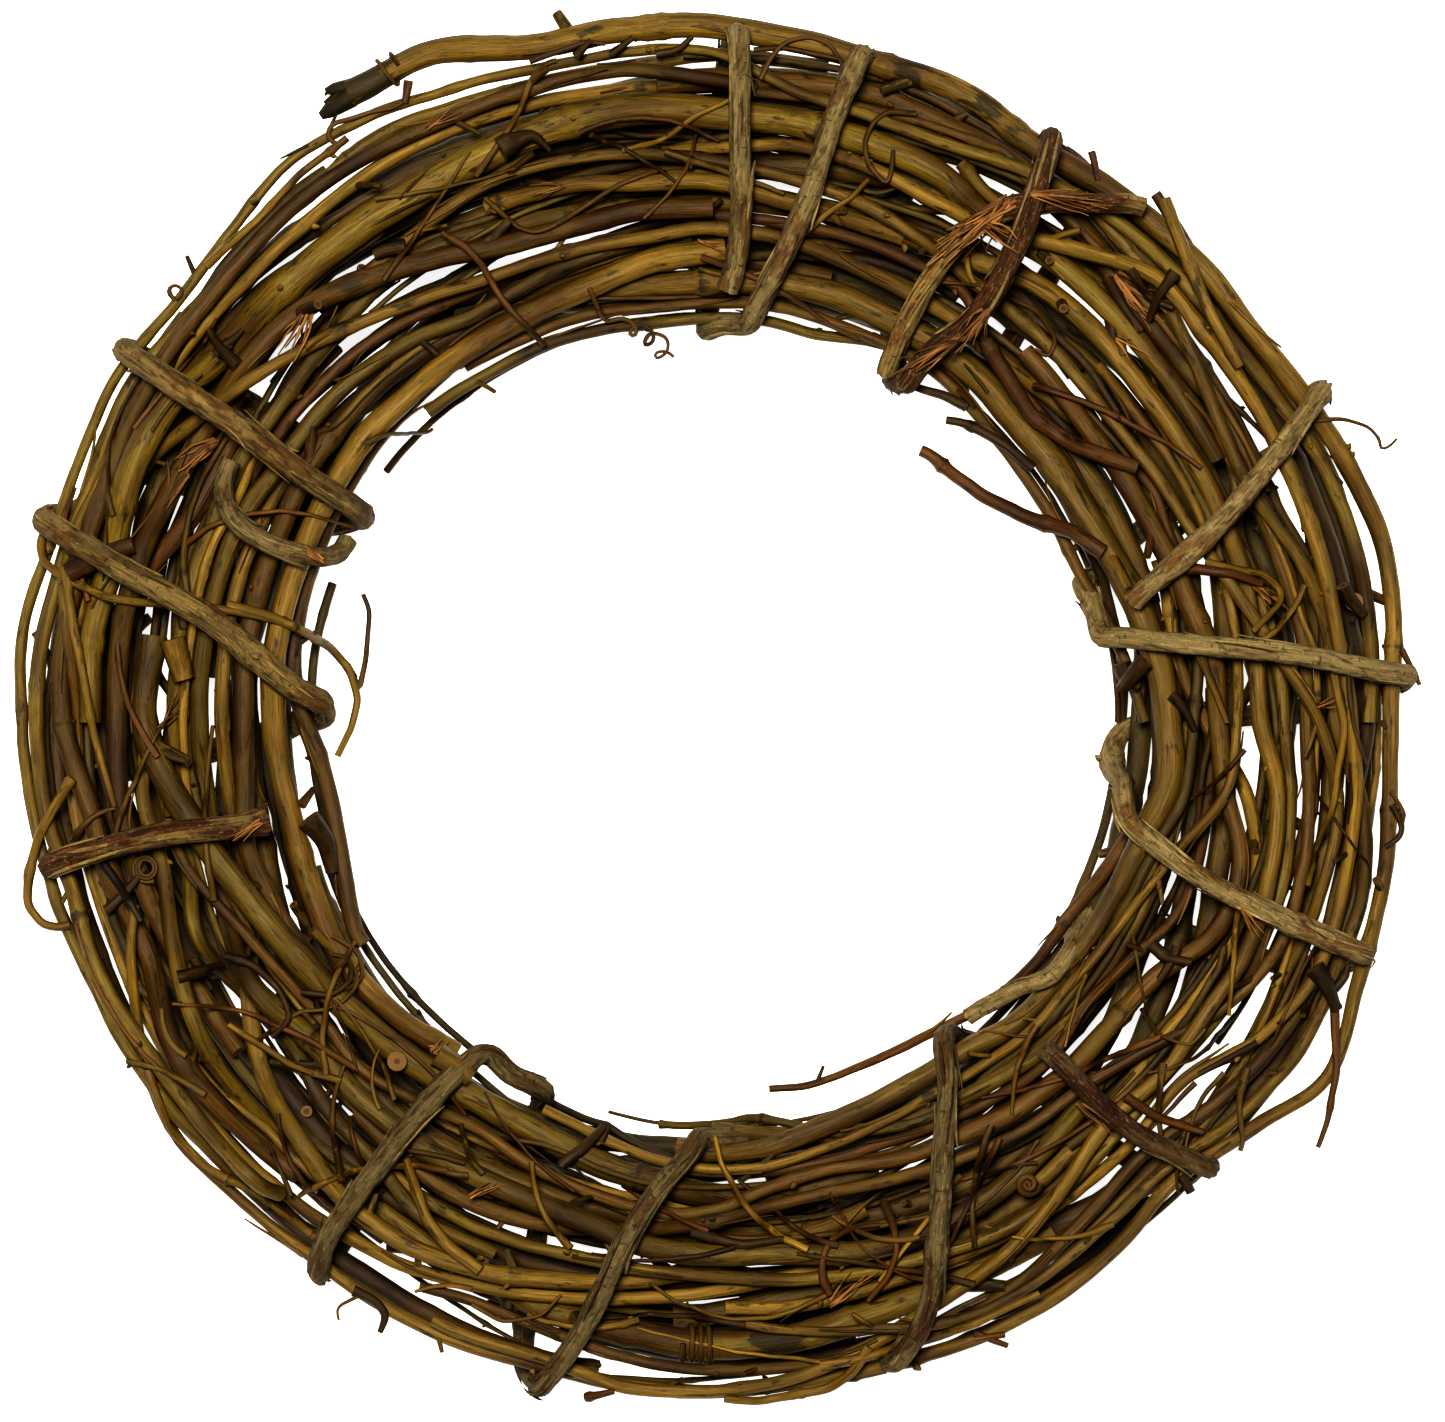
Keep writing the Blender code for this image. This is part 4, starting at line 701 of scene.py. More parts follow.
def cane_bark(name, colour, blush):
    """Smooth dry bark: long streaks, browner patches, dark smudges, small specks and dark knuckles."""
    material, graph, shader = surface(name, 0.5)
    grain = attribute(graph, "grain", "Vector")
    # The palest streaks carry a painted sheen as well as paler bark
    base = ramp(graph, pattern(graph, grain, CANE_STREAKS), [
        (0.3, times(colour, 0.42)), (0.43, times(colour, 0.82)), (0.56, colour), (0.74, paler(colour, 1.4))])
    lines = ramp(graph, pattern(graph, grain, CANE_HAIRS), HAIR_TINTS)
    base = mix(graph, 1.0, base, lines, "MULTIPLY")
    browner = mix(graph, 1.0, base, times(blush, 3.0), "MULTIPLY")
    base = laid_over(graph, base, pattern(graph, grain, CANE_TONES), 0.45, 0.68, 0.85, browner)
    patches = pattern(graph, grain, CANE_PATCHES)
    base = laid_over(graph, base, patches, 0.5, 0.66, 0.7, times(blush, 0.75))
    wear = pattern(graph, grain, CANE_WEAR)
    smudge = wear + attribute(graph, "stain") * 0.3
    base = laid_over(graph, base, smudge, 0.57, 0.68, 0.85, times(blush, 0.16))
    specks = graph.out("ShaderNodeTexVoronoi", {"Vector": graph.vector("MULTIPLY", grain, CANE_SPECKS)},
                       "Distance", feature="F1")
    dots = (1.0 - between(graph, specks, 0.12, 0.22)) * between(graph, patches, 0.45, 0.6)
    base = mix(graph, dots * 0.8, base, times(blush, 0.15))
    ragged = attribute(graph, "knuckle") + wear * 1.3
    base = laid_over(graph, base, ragged, 1.2, 1.55, 0.85, times(blush, 0.22))
    shaded(graph, shader, base)
    graph.feed(shader.inputs["Roughness"], patches * 0.4 + 0.36)
    raised(graph, shader, pattern(graph, grain, CANE_FIBRE), 0.6, 0.3 * MM)
    return material


def binder_bark(name, colour, deep):
    """Rough, stringy bark of old vine: grey-tan ridges, dark furrows, red-brown stretches, fine cracks."""
    material, graph, shader = surface(name, 0.85)
    grain = attribute(graph, "grain", "Vector")
    strings = pattern(graph, grain, BINDER_STRINGS)
    base = ramp(graph, strings, [
        (0.26, times(deep, 0.5)), (0.36, times(deep, 1.1)), (0.45, times(colour, 0.85)), (0.55, colour),
        (0.72, paler(colour, 1.45))])
    patches = pattern(graph, grain, BINDER_PATCHES)
    base = laid_over(graph, base, patches, 0.52, 0.66, 0.6, times(deep, 1.1))
    rust = ramp(graph, strings, [(0.35, times(RUST, 0.2)), (0.5, RUST), (0.7, times(RUST, 2.4))])
    edge = attribute(graph, "red") + (patches - 0.5) * 1.2
    base = laid_over(graph, base, edge, 0.35, 0.6, 1.0, rust)
    flecks = pattern(graph, grain, BINDER_FLECKS)
    base = laid_over(graph, base, flecks, 0.58, 0.68, 0.65, paler(colour, 1.75))
    blotched = mix(graph, 1.0, base, BLOTCH_TINT, "MULTIPLY")
    base = laid_over(graph, base, pattern(graph, grain, BINDER_BLOTCHES), 0.5, 0.6, 0.8, blotched)
    base = laid_over(graph, base, pattern(graph, grain, BINDER_CRACKS), 0.64, 0.7, 0.7, times(deep, 0.3))
    base = laid_over(graph, base, attribute(graph, "furrow"), 0.35, 1.0, 0.65, times(deep, 0.3))
    shaded(graph, shader, base)
    raised(graph, shader, pattern(graph, grain, BINDER_FIBRE), 0.9, 0.5 * MM)
    return material


def bare_wood(name):
    """Pale wood of a cut or split end, with rings and a dark pith."""
    colour = settings().colours.wood
    material, graph, shader = surface(name, 0.7)
    grain = attribute(graph, "grain", "Vector")
    x, y = graph.separate(grain)[:2]
    out = graph.vector("LENGTH", graph.combine(x, y))
    rays = pattern(graph, grain, WOOD_RAYS)
    tone = rays + graph.math("SINE", out * WOOD_RINGS) * 0.07
    base = ramp(graph, tone, [(0.3, times(colour, 0.35)), (0.5, times(colour, 0.8)), (0.7, colour)])
    pith = (1.0 - between(graph, out, 0.4 * MM, 0.9 * MM)) * 0.7
    base = mix(graph, pith, base, times(colour, 0.15))
    graph.feed(shader.inputs["Base Color"], base)
    raised(graph, shader, rays, 0.5, 0.2 * MM)
    return material


def slot_bark(slot):
    """The finish that goes with a material slot of the record."""
    colours = settings().colours
    if slot == "binder_bark":
        return finish("stringy_bark", lambda name: binder_bark(name, colours.binder, colours.dark_binder))
    if slot == "binder_dark_bark":
        return finish("dark_stringy_bark", lambda name: binder_bark(
            name, times(colours.dark_binder, DARK_SLOT_COLOUR), times(colours.dark_binder, DARK_SLOT_DEEP)))
    tone = slot.removeprefix("cane_")
    blush = {"tan": "olive", "olive": "brown", "brown": "olive", "red": "brown"}[tone]
    return finish(f"{tone}_bark", lambda name: cane_bark(
        name, getattr(colours, tone), getattr(colours, blush)))


# Pieces

UP = (0.0, 0.0, 1.0)
SLOT_OF = {part["node"]: part["material_slot"] for part in frame["record"]["subparts"]}
LINES = {}

# Distances between points on a vine's line, and how far a binder's corners are rounded off
BINDER_SPACING = 0.8 * MM
CANE_SPACING = 2.2 * MM
BINDER_ROUNDING = 4.5 * MM

# How high a binder's middle stays off the floor, as a share of its width
OFF_FLOOR = 0.62

# The numbers that give every strand a pattern of its own
OWN = (10, 90)

# Stumps of side shoots: usual distance between two, and ranges of their place along the vine, turn round it,
# width against its width, length in millimetres and slant
STUB_SPACING = 95 * MM
STUB_PLACES = (0.04, 0.93)
STUB_TURNS = (-1.9, 1.9)
STUB_SIZES = (0.32, 0.55)
STUB_LENGTHS = (1.5, 4.5)
STUB_SLANTS = (0.3, 1.2)
STUB_TAPER = np.linspace(1.15, 0.85, 5)

# Loose strings of bark: usual distance between two, share of red ones, and ranges of their length, width and
# lift in millimetres, place, twist and shade
STRING_SPACING = 5 * MM
RED_STRINGS = 0.12
STRING_LENGTHS = (7, 26)
STRING_SIZES = (0.4, 1.1)
STRING_LIFTS = (0.1, 1.3)
STRING_PLACES = (0.01, 0.97)
STRING_TWISTS = (-0.7, 0.7)
STRING_SHADES = (0.6, 1.5)
STRING_TAPER = np.array([0.3, 0.8, 1.0, 1.0, 0.9, 0.7, 0.25])

# Where the binders' loops reach: clock angle, half width in degrees, radius of the edge in millimetres
RIM_RADIUS = 158.0
RIM_RADII = (
    (3, 4, 153), (14, 4, 152), (33, 5, 150), (61, 5, 154.5), (86, 5, 155), (110, 5, 154), (131, 6, 148.5),
    (164, 6, 148), (195, 5, 153), (215.5, 5, 151), (258, 5, 151), (288, 5, 156), (304, 5, 155.5),
)
HOLE_RADIUS = 83.0
HOLE_RADII = (
    (8, 6, 85), (73, 5, 85), (94, 5, 86), (117, 9, 91), (179, 6, 89), (300, 6, 84),
)

# The broken fork at a cane's free end: how far aside, how long and how wide each prong is, in millimetres
FORKED_CANE = "cane_outer_1"
FORK_ANGLE = 330
FORK_SHADE = 0.55
PRONGS = ((-0.8, 8.0, 4.6), (1.7, 4.5, 3.2), (0.3, 6.0, 2.4))
PRONG_TAPER = np.array([1.0, 0.95, 0.8, 0.4])

# How light each binder's bark is, the range for the canes, the painted shade that darkens the canes
# underneath and the thin canes deep in the bundle, and the height under which a thin cane gets that painted
# shade
BINDER_SHADES = {
    "binder_top": 0.85, "binder_right": 1.0, "binder_bottom": 0.6, "binder_left": 0.85,
    "binder_left_short": 0.75, "binder_split_end": 0.95,
}
CANE_SHADES = (0.7, 1.3)
PAINTED_DEPTH_SHADE = 0.62
DEEP = 33 * MM

# Red-brown stretches and dark patches: clock angle, half width in degrees, amount
REDDER = {
    "binder_left": [(256, 6, 0.55)],
    "binder_top": [(33, 8, 0.8)],
    "binder_split_end": [(34, 5, 0.8)],
    "binder_right": [(112, 5, 0.45)],
    "binder_bottom": [(137, 5, 0.55), (160, 4, 0.4)],
}
STAINED = {
    "cane_outer_1": [(17, 1.5, 0.8), (24, 1.5, 0.8), (331, 3, 0.9)],
    "cane_outer_8": [(174, 2.5, 0.9)],
}

# Strands without knuckles, and the numbers that set apart the patterns of loose strands
NO_KNUCKLES = {"Knuckle Swelling": 0.0, "Bud Share": 0.0}
LOOSE_OWN = 200.0
LOOSE_APART = 3.7


def nodes_with(start):
    return sorted(node for node in frame["nodes"] if node.startswith(start))


def cane_values():
    sizes = settings().sizes
    return {
        "Sides": sizes.cane_sides, "Step": sizes.cane_step, "Waver": 0.85 * MM, "Waver Length": 24 * MM,
        "Lumpiness": 0.3, "Knuckle Spacing": sizes.knuckle_spacing, "Knuckle Length": 2.2 * MM,
        "Knuckle Swelling": 0.26, "Ridge Height": sizes.cane_ridge, "Seed": sizes.seed}


def binder_values():
    sizes = settings().sizes
    return {
        "Sides": sizes.binder_sides, "Step": sizes.binder_step, "Waver": 0.1 * MM, "Lumpiness": 0.1,
        "Knuckle Spacing": 58 * MM, "Knuckle Length": 3.4 * MM, "Knuckle Swelling": 0.3,
        "Ridge Height": 0.3 * MM, "Ridge Width": 0.75 * MM, "Ridge Length": 7 * MM,
        "Furrow Depth": sizes.binder_furrow, "Bud Share": 0.25, "Seed": sizes.seed}


def fine_values(**changes):
    return {
        "Sides": 8, "Step": 1.0 * MM, "Waver": 0.25 * MM, "Waver Length": 9 * MM, "Lumpiness": 0.25,
        "Knuckle Spacing": 26 * MM, "Knuckle Length": 1.3 * MM, "Knuckle Swelling": 0.5,
        "Ridge Height": 0.05 * MM, "Bud Share": 0.3, "Bud Size": 0.8 * MM, "Seed": settings().sizes.seed,
        **changes}


def evened(points, widths):
    """The same line with its corners rounded off, and kept off the floor."""
    line, wide = dense(points, widths, BINDER_SPACING)
    at = np.linspace(0, distances(points)[-1], len(line))
    weights = np.exp(-0.5 * ((at[:, None] - at[None, :]) / BINDER_ROUNDING) ** 2)
    weights /= weights.sum(1)[:, None]
    ends = np.minimum(at, at[-1] - at)
    hold = np.exp(-(ends / BINDER_ROUNDING) ** 2)[:, None]
    smooth = (weights @ line) * (1 - hold) + line * hold
    smooth[:, 2] = np.maximum(smooth[:, 2], wide * OFF_FLOOR)
    return smooth, wide


def limit_at(angles, table, otherwise):
    limit = np.full(len(angles), otherwise)
    for angle, reach, value in table:
        part = np.clip(2.0 - np.abs(turned_from(angles, angle)) / reach, 0, 1)
        limit = limit + (value - otherwise) * part * part * (3 - 2 * part)
    return limit


def drawn_tight(points, widths):
    """A binder's loops drawn in to the radii that the photograph shows at the rim and at the hole."""
    angle, radius, height = polar(points)
    half = widths / 2 / MM
    most = limit_at(angle, RIM_RADII, RIM_RADIUS) - half
    least = limit_at(angle, HOLE_RADII, HOLE_RADIUS) + half
    tight = smoothed(np.clip(radius, least, most), 2)
    return np.array([place(*spot) for spot in zip(angle, tight, height)])


def filled_in(points, widths):
    """More points on the smooth curve through these."""
    table = np.column_stack([points, widths])
    padded = np.vstack([2 * table[0] - table[1], table, 2 * table[-1] - table[-2]])
    rows = []
    for before, here, there, after in zip(padded, padded[1:], padded[2:], padded[3:]):
        count = max(int(np.linalg.norm(there[:3] - here[:3]) / CANE_SPACING + 0.5), 1)
        for part in np.arange(count) / count:
            rows.append(0.5 * (2 * here + (there - before) * part
                               + (2 * before - 5 * here + 4 * there - after) * part ** 2
                               + (3 * here - before - 3 * there + after) * part ** 3))
    rows = np.array([*rows, table[-1]])
    return rows[:, :3], rows[:, 3]


def line_of(node):
    """The centreline and widths that a node's vine is grown on."""
    if node not in LINES:
        points, widths = centreline(node)
        if node.startswith("cane"):
            points, widths = filled_in(points, widths)
        else:
            points, widths = evened(points, widths)
            points = drawn_tight(points, widths)
        LINES[node] = (points, widths)
    return LINES[node]


def off_line(points, widths, first, count, turn, lifts):
    """Points along a vine, at this turn round it (in radians from straight up) and this far off its skin."""
    numbers = np.arange(len(points))
    index = np.linspace(first, min(first + count, len(points) - 1), len(lifts))
    line = drawn_along(points, index, numbers)
    wide = drawn_along(widths, index, numbers)
    way = normalised(np.gradient(line, axis=0))
    side = np.cross(way, UP)
    side /= np.maximum(np.linalg.norm(side, axis=1), 0.05)[:, None]
    up = np.cross(side, way)
    turns = np.broadcast_to(turn, len(lifts))[:, None]
    out = up * np.cos(turns) + side * np.sin(turns)
    return line + out * (wide / 2 + lifts)[:, None]


def above_floor(route, width):
    route[:, 2] = np.maximum(route[:, 2], width / 2)
    return route


def toned(points, spots):
    """How much of each spot lies on each point. A spot is a clock angle, a half width and an amount."""
    angles = polar(points)[0]
    amount = np.zeros(len(points))
    for angle, reach, strength in spots:
        amount = np.maximum(amount, strength * np.exp(-(turned_from(angles, angle) / reach) ** 4))
    return amount


def forked_tip():
    """The prongs at the free end of the forked cane."""
    points = line_of(FORKED_CANE)[0]
    if abs(clock_angle(points[0]) - FORK_ANGLE) > abs(clock_angle(points[-1]) - FORK_ANGLE):
        points = points[::-1]
    onward = points[0] - points[3]
    onward /= np.linalg.norm(onward)
    aside = np.cross(onward, UP)
    prongs = []
    for side, long, wide in PRONGS:
        route = [points[0] + (onward * far + aside * side * (1 + far / 7)) * MM
                 for far in (-3.0, 0.3 * long, 0.7 * long, long)]
        prongs.append(strand(route, PRONG_TAPER * wide * MM, FORK_SHADE, 25.0 + side, stain=0.9))
    return prongs


def side_stubs(points, widths, draw):
    """Stumps of side shoots that were cut or broken off."""
    strands = []
    spacing = float(np.linalg.norm(np.diff(points, axis=0), axis=1).mean())
    for number in range(int(len(points) * spacing / STUB_SPACING)):
        first = int(draw.uniform(*STUB_PLACES) * len(points))
        turn = draw.uniform(*STUB_TURNS)
        size = widths[first] * draw.uniform(*STUB_SIZES)
        long = draw.uniform(*STUB_LENGTHS) * MM
        run = max(int((long + widths[first]) * draw.uniform(*STUB_SLANTS) / spacing), 1)
        lifts = np.linspace(-0.45 * widths[first], long, len(STUB_TAPER))
        route = above_floor(off_line(points, widths, first, run, turn, lifts), size)
        strands.append(strand(route, STUB_TAPER * size, 0.8, draw.uniform(*OWN), stain=0.3))
    return strands


def bark_strings(points, widths, draw):
    """Strings of bark that hug a binder vine and come loose at one end."""
    strands = []
    part = np.linspace(0, 1, len(STRING_TAPER))
    for number in range(int(len(points) * BINDER_SPACING / STRING_SPACING)):
        count = int(draw.uniform(*STRING_LENGTHS) * MM / BINDER_SPACING)
        first = int(draw.uniform(*STRING_PLACES) * (len(points) - count))
        size = draw.uniform(*STRING_SIZES) * MM
        turn = draw.uniform(-math.pi, math.pi) + draw.uniform(*STRING_TWISTS) * part
        lifts = -0.25 * size + draw.uniform(*STRING_LIFTS) * MM * part ** 3
        if draw.random() < 0.5:
            lifts = lifts[::-1]
        route = above_floor(off_line(points, widths, first, count, turn, lifts), size)
        strands.append(strand(route, STRING_TAPER * size, draw.uniform(*STRING_SHADES), draw.uniform(*OWN),
                              float(draw.random() < RED_STRINGS)))
    return strands


def dress_node(node, values):
    """Stands a finely made vine in the place of a CAD node."""
    points, widths = line_of(node)
    number = sorted(frame["nodes"]).index(node)
    draw = np.random.default_rng(settings().sizes.seed * 100 + number)
    shade = BINDER_SHADES.get(node, float(draw.uniform(*CANE_SHADES)))
    # The canes underneath get a painted shade: darker, as if shadowed deep in the bundle
    if node.startswith("cane_under"):
        shade *= PAINTED_DEPTH_SHADE
    red = toned(points, REDDER.get(node, ()))
    stain = toned(points, STAINED.get(node, ()))
    strands = [strand(points, widths, shade, number + 1.0, red, stain)]
    if node == FORKED_CANE:
        strands.extend(forked_tip())
    if node.startswith("cane"):
        strands.extend(side_stubs(points, widths, draw))
    piece = grown(f"vine_{node}", strands, slot_bark(SLOT_OF[node]), values)
    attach(piece, "root")
    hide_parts(node)


def loose_piece(name, strands, slot, bark=None, **changes):
    """One piece of several loose strands, which rides with the wreath."""
    for number, item in enumerate(strands):
        item["own"] = item["own"] or LOOSE_OWN + LOOSE_APART * number
    piece = grown(name, strands, bark or slot_bark(slot), fine_values(**changes))
    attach(piece, "root")


def loose_groups(name, strands, tones, **changes):
    """Loose strands dealt out over pieces of several tones of bark."""
    for first, tone in enumerate(tones):
        group = strands[first::len(tones)]
        if group:
            loose_piece(f"{name}_{tone}", group, f"cane_{tone}", **changes)


def dress_canes(start):
    for node in nodes_with(start):
        dress_node(node, cane_values())
    return {"FINISHED"}


class WREATH_OT_outer_canes(bpy.types.Operator):
    """Dresses the canes of the outer part of the ring"""

    bl_idname = "wreath.outer_canes"
    bl_label = "Outer canes"

    def execute(self, context):
        return dress_canes("cane_outer")


class WREATH_OT_middle_canes(bpy.types.Operator):
    """Dresses the canes of the middle of the ring"""

    bl_idname = "wreath.middle_canes"
    bl_label = "Middle canes"

    def execute(self, context):
        return dress_canes("cane_middle")


class WREATH_OT_inner_canes(bpy.types.Operator):
    """Dresses the canes round the hole"""

    bl_idname = "wreath.inner_canes"
    bl_label = "Inner canes"

    def execute(self, context):
        return dress_canes("cane_inner")


class WREATH_OT_under_canes(bpy.types.Operator):
    """Dresses the canes underneath"""

    bl_idname = "wreath.under_canes"
    bl_label = "Canes underneath"

    def execute(self, context):
        return dress_canes("cane_under")


class WREATH_OT_binders(bpy.types.Operator):
    """Dresses the binder vines with rough, stringy bark"""

    bl_idname = "wreath.binders"
    bl_label = "Binder vines"

    def execute(self, context):
        for number, node in enumerate(nodes_with("binder")):
            dress_node(node, binder_values())
            draw = np.random.default_rng(settings().sizes.seed * 50 + number)
            strings = bark_strings(*line_of(node), draw)
            for string in strings:
                string["shade"] *= BINDER_SHADES[node]
            loose_piece(f"loose_bark_{node}", strings, SLOT_OF[node], Sides=6, Step=1.3 * MM,
                        Waver=0.2 * MM, **NO_KNUCKLES)
        return {"FINISHED"}


# Where a loose strand lies

# The grid of the highest vines: its cells in degrees and millimetres, where it starts, how many cells a vine
# reaches over to either side and outward, and the height of an empty cell
CELL_ANGLE = 0.5
CELL_RADIUS = 0.5
FIRST_RADIUS = 66.0
RADIUS_CELLS = 210
CELLS_SIDEWAYS = 5
CELLS_OUTWARD = 11
TOPS_STEP = 0.8 * MM
NOTHING = -1.0
GRIDS = {}

# A laid strand: distance between its points, over how many it is evened out, how high its middle rests on a
# vine as a share of its width, the least height that counts as a vine, and its height where there is none,
# both in millimetres
LAID_STEP = 0.6 * MM
LAID_ROUNDING = 2
RESTING = 0.4
LEAST_TOP = 3
LOOSE_HEIGHT = 24.0

# The photograph: the ring's centre in pixels, and millimetres for each pixel
PHOTO_CENTRE = (712, 715)
PHOTO_SCALE = 0.218


def add_tops(grid, points, widths):
    line, wide = dense(points, widths, TOPS_STEP)
    angle, radius, height = polar(line)
    reach = wide / 2 / MM
    column = np.rint(angle / CELL_ANGLE).astype(int)
    row = np.rint((radius - FIRST_RADIUS) / CELL_RADIUS).astype(int)
    for across in range(-CELLS_SIDEWAYS, CELLS_SIDEWAYS + 1):
        sideways = np.radians((column + across) * CELL_ANGLE - angle) * radius
        for out in range(-CELLS_OUTWARD, CELLS_OUTWARD + 1):
            cell = row + out
            away = FIRST_RADIUS + cell * CELL_RADIUS - radius
            room = reach ** 2 - sideways ** 2 - away ** 2
            good = (room > 0) & (cell >= 0) & (cell < RADIUS_CELLS)
            top = height[good] + np.sqrt(room[good])
            np.maximum.at(grid, ((column[good] + across) % len(grid), cell[good]), top)


def tops(with_binders):
    """The height of the highest vine over each cell of the ring, in millimetres."""
    if with_binders not in GRIDS:
        grid = np.full((int(360 / CELL_ANGLE), RADIUS_CELLS), NOTHING)
        for node in sorted(frame["nodes"]):
            if with_binders or not node.startswith("binder"):
                add_tops(grid, *line_of(node))
        GRIDS[with_binders] = grid
    return GRIDS[with_binders]


def pixels(*spots):
    """Places from pixels of the photograph. A third number is a lift, in millimetres."""
    path = []
    for x, y, *lift in spots:
        across = x - PHOTO_CENTRE[0]
        up = PHOTO_CENTRE[1] - y
        angle = math.degrees(math.atan2(across, up)) % 360
        path.append((angle, math.hypot(across, up) * PHOTO_SCALE, *lift))
    return path


def spiral(x, y, outer, inner, turns, start=0.0):
    """Places on a flat spiral about a pixel of the photograph, its radii in pixels."""
    spots = []
    count = int(turns * 10)
    for i in range(count + 1):
        part = i / count
        turn = start + part * turns * 2 * math.pi
        reach = outer + (inner - outer) * part
        spots.append((x + reach * math.cos(turn), y + reach * math.sin(turn), 1.5 * part))
    return pixels(*spots)


def laid(path, start_width, end_width, over_binders=False, reach=5):
    """A strand along these places, resting on the vines below it. Each place may end with a lift."""
    places = np.array([(*step, 0.0)[:3] for step in path], float)
    flat = np.array([place(angle, radius, lift) for angle, radius, lift in places])
    line = dense(flat, np.zeros(len(flat)), LAID_STEP)[0]
    ends = line[[0, -1]].copy()
    line = np.array([smoothed(column, LAID_ROUNDING) for column in line.T]).T
    line[0], line[-1] = ends
    widths = np.linspace(start_width, end_width, len(line))
    grid = tops(over_binders)
    angle, radius, lift = polar(line)
    column = np.rint(angle / CELL_ANGLE).astype(int) % len(grid)
    found = np.full(len(line), NOTHING)
    for side in (-RESTING, 0.0, RESTING):
        row = np.rint((radius + side * widths - FIRST_RADIUS) / CELL_RADIUS).astype(int)
        found = np.maximum(found, grid[column, np.clip(row, 0, RADIUS_CELLS - 1)])
    held = found > LEAST_TOP
    if held.any():
        at = np.arange(len(line))
        found = np.interp(at, at[held], found[held])
    else:
        found[:] = LOOSE_HEIGHT
    found = smoothed(spread_max(found, reach), reach)
    line[:, 2] = (found + RESTING * widths + lift) * MM
    return strand(line, widths * MM)


# Thin canes between the others

# Upright planes through the ring's centre, this many degrees apart, in which a thin cane settles
STATION = 2.5
TURN_STATIONS = 144
CROSSINGS_STEP = 1.2 * MM
NEAR_PLANE = 1.0

# How a thin cane settles: rounds, pull to its neighbours' middle and to its own target, push off a vine
ROUNDS = 70
PULL_EVEN = 0.5
PULL_HOME = 0.03
PUSH = 0.55

# Openings: how many degrees and millimetres a thin cane keeps from one, and how hard it is pushed off
OPENING_ANGLE = 3.2
OPENING_ROOM = 2.2
OPENING_PUSH = 0.4

# The room for thin canes: radii and heights in millimetres
ROOM_RADII = (87, 151)
ROOM_HEIGHTS = (2.0, 52)

# Thin canes: tones of bark, ranges of their half width, length in planes, first radius, drift, and height,
# run and start of their wave (both in radians), depths under the highest vines, range of their shade, and
# the radii and heights that their first line keeps to. Lengths are in millimetres
THIN_TONES = ("tan", "olive", "brown")
THIN_REACHES = (0.55, 1.35)
THIN_PLANES = (18, 62)
THIN_STARTS = (91, 148)
THIN_DRIFTS = (-20, 20)
THIN_WAVES = (1, 4)
THIN_TURNS = (3, 12)
THIN_PHASES = (0, 6)
THIN_DEPTHS = (0.5, 4.0, 9.0)
THIN_SHADES = (0.5, 1.3)
THIN_RADII = (90, 149)
THIN_HEIGHTS = (6, 50)
LEAST_TARGET = 12.0

# Places where the floor shows between the canes: clock angle, radius
OPENINGS = (
    (6, 124.5), (12, 124), (19, 123), (14, 94), (41, 117.5), (45, 111), (50, 142.8), (62, 141.5),
    (67, 141.5), (67, 136.5), (73, 149), (73, 126), (76, 139.5), (78, 133.5), (100, 127.5), (105, 127.5),
    (96, 111), (109, 114.5), (123, 112.5), (130, 95.5), (152, 115), (156, 115), (145, 142.5), (150, 142.5),
    (155, 142.5), (163, 120), (193, 112), (198, 112), (200, 102.3), (207, 114), (184, 143), (188, 143),
    (229, 145), (235, 145), (237, 140), (239, 132), (250, 130.5), (258, 92), (264, 92), (270, 100.5),
    (275, 100.5), (272, 106), (274, 121), (288, 149), (294, 149), (276, 148), (289, 113), (263, 104),
    (307, 107.5), (320, 127.5), (330, 127.8), (336, 124), (350, 127), (355, 132.8), (352, 113.7),
    (355, 103.5), (336, 145), (341, 145), (324, 152.5),
)


def add_crossings(planes, points, widths):
    """Notes the radius, height and half width of a vine wherever it crosses one of the planes."""
    line, wide = dense(points, widths, CROSSINGS_STEP)
    angle, radius, height = polar(line)
    for i in range(len(line)):
        station = int(round(angle[i] / STATION))
        away = math.radians(angle[i] - station * STATION) * radius[i]
        if abs(away) < NEAR_PLANE:
            planes[station % TURN_STATIONS].append((radius[i], height[i], wide[i] / 2 / MM))


def settled(planes, first, radii, heights, reach):
    """A route near these radii and heights that keeps clear of the vines that cross its planes."""
    target = np.array([radii, heights]).T
    spot = target.copy()
    around = [np.array(planes[(first + i) % TURN_STATIONS]).reshape(-1, 3) for i in range(len(spot))]
    holes = []
    for i in range(len(spot)):
        angle = (first + i) * STATION
        holes.append(np.array([
            radius for at, radius in OPENINGS if abs(turned_from(angle, at)) < OPENING_ANGLE]))
    for turn in range(ROUNDS):
        inner = spot.copy()
        inner[1:-1] = PULL_EVEN * spot[1:-1] + (1 - PULL_EVEN) / 2 * (spot[:-2] + spot[2:])
        spot = inner + PULL_HOME * (target - inner)
        for i in range(len(spot)):
            if len(around[i]):
                off = spot[i] - around[i][:, :2]
                far = np.maximum(np.linalg.norm(off, axis=1), 0.01)
                deep = around[i][:, 2] + reach - far
                pressed = deep > 0
                if pressed.any():
                    spot[i] += PUSH * (off[pressed] / far[pressed, None] * deep[pressed, None]).sum(0)
            if len(holes[i]):
                off = spot[i, 0] - holes[i]
                deep = OPENING_ROOM + reach - np.abs(off)
                spot[i, 0] += OPENING_PUSH * (np.sign(off) * np.maximum(deep, 0)).sum()
        spot[:, 0] = np.clip(spot[:, 0], *ROOM_RADII)
        spot[:, 1] = np.clip(spot[:, 1], ROOM_HEIGHTS[0] + reach, ROOM_HEIGHTS[1] - reach)
    return spot


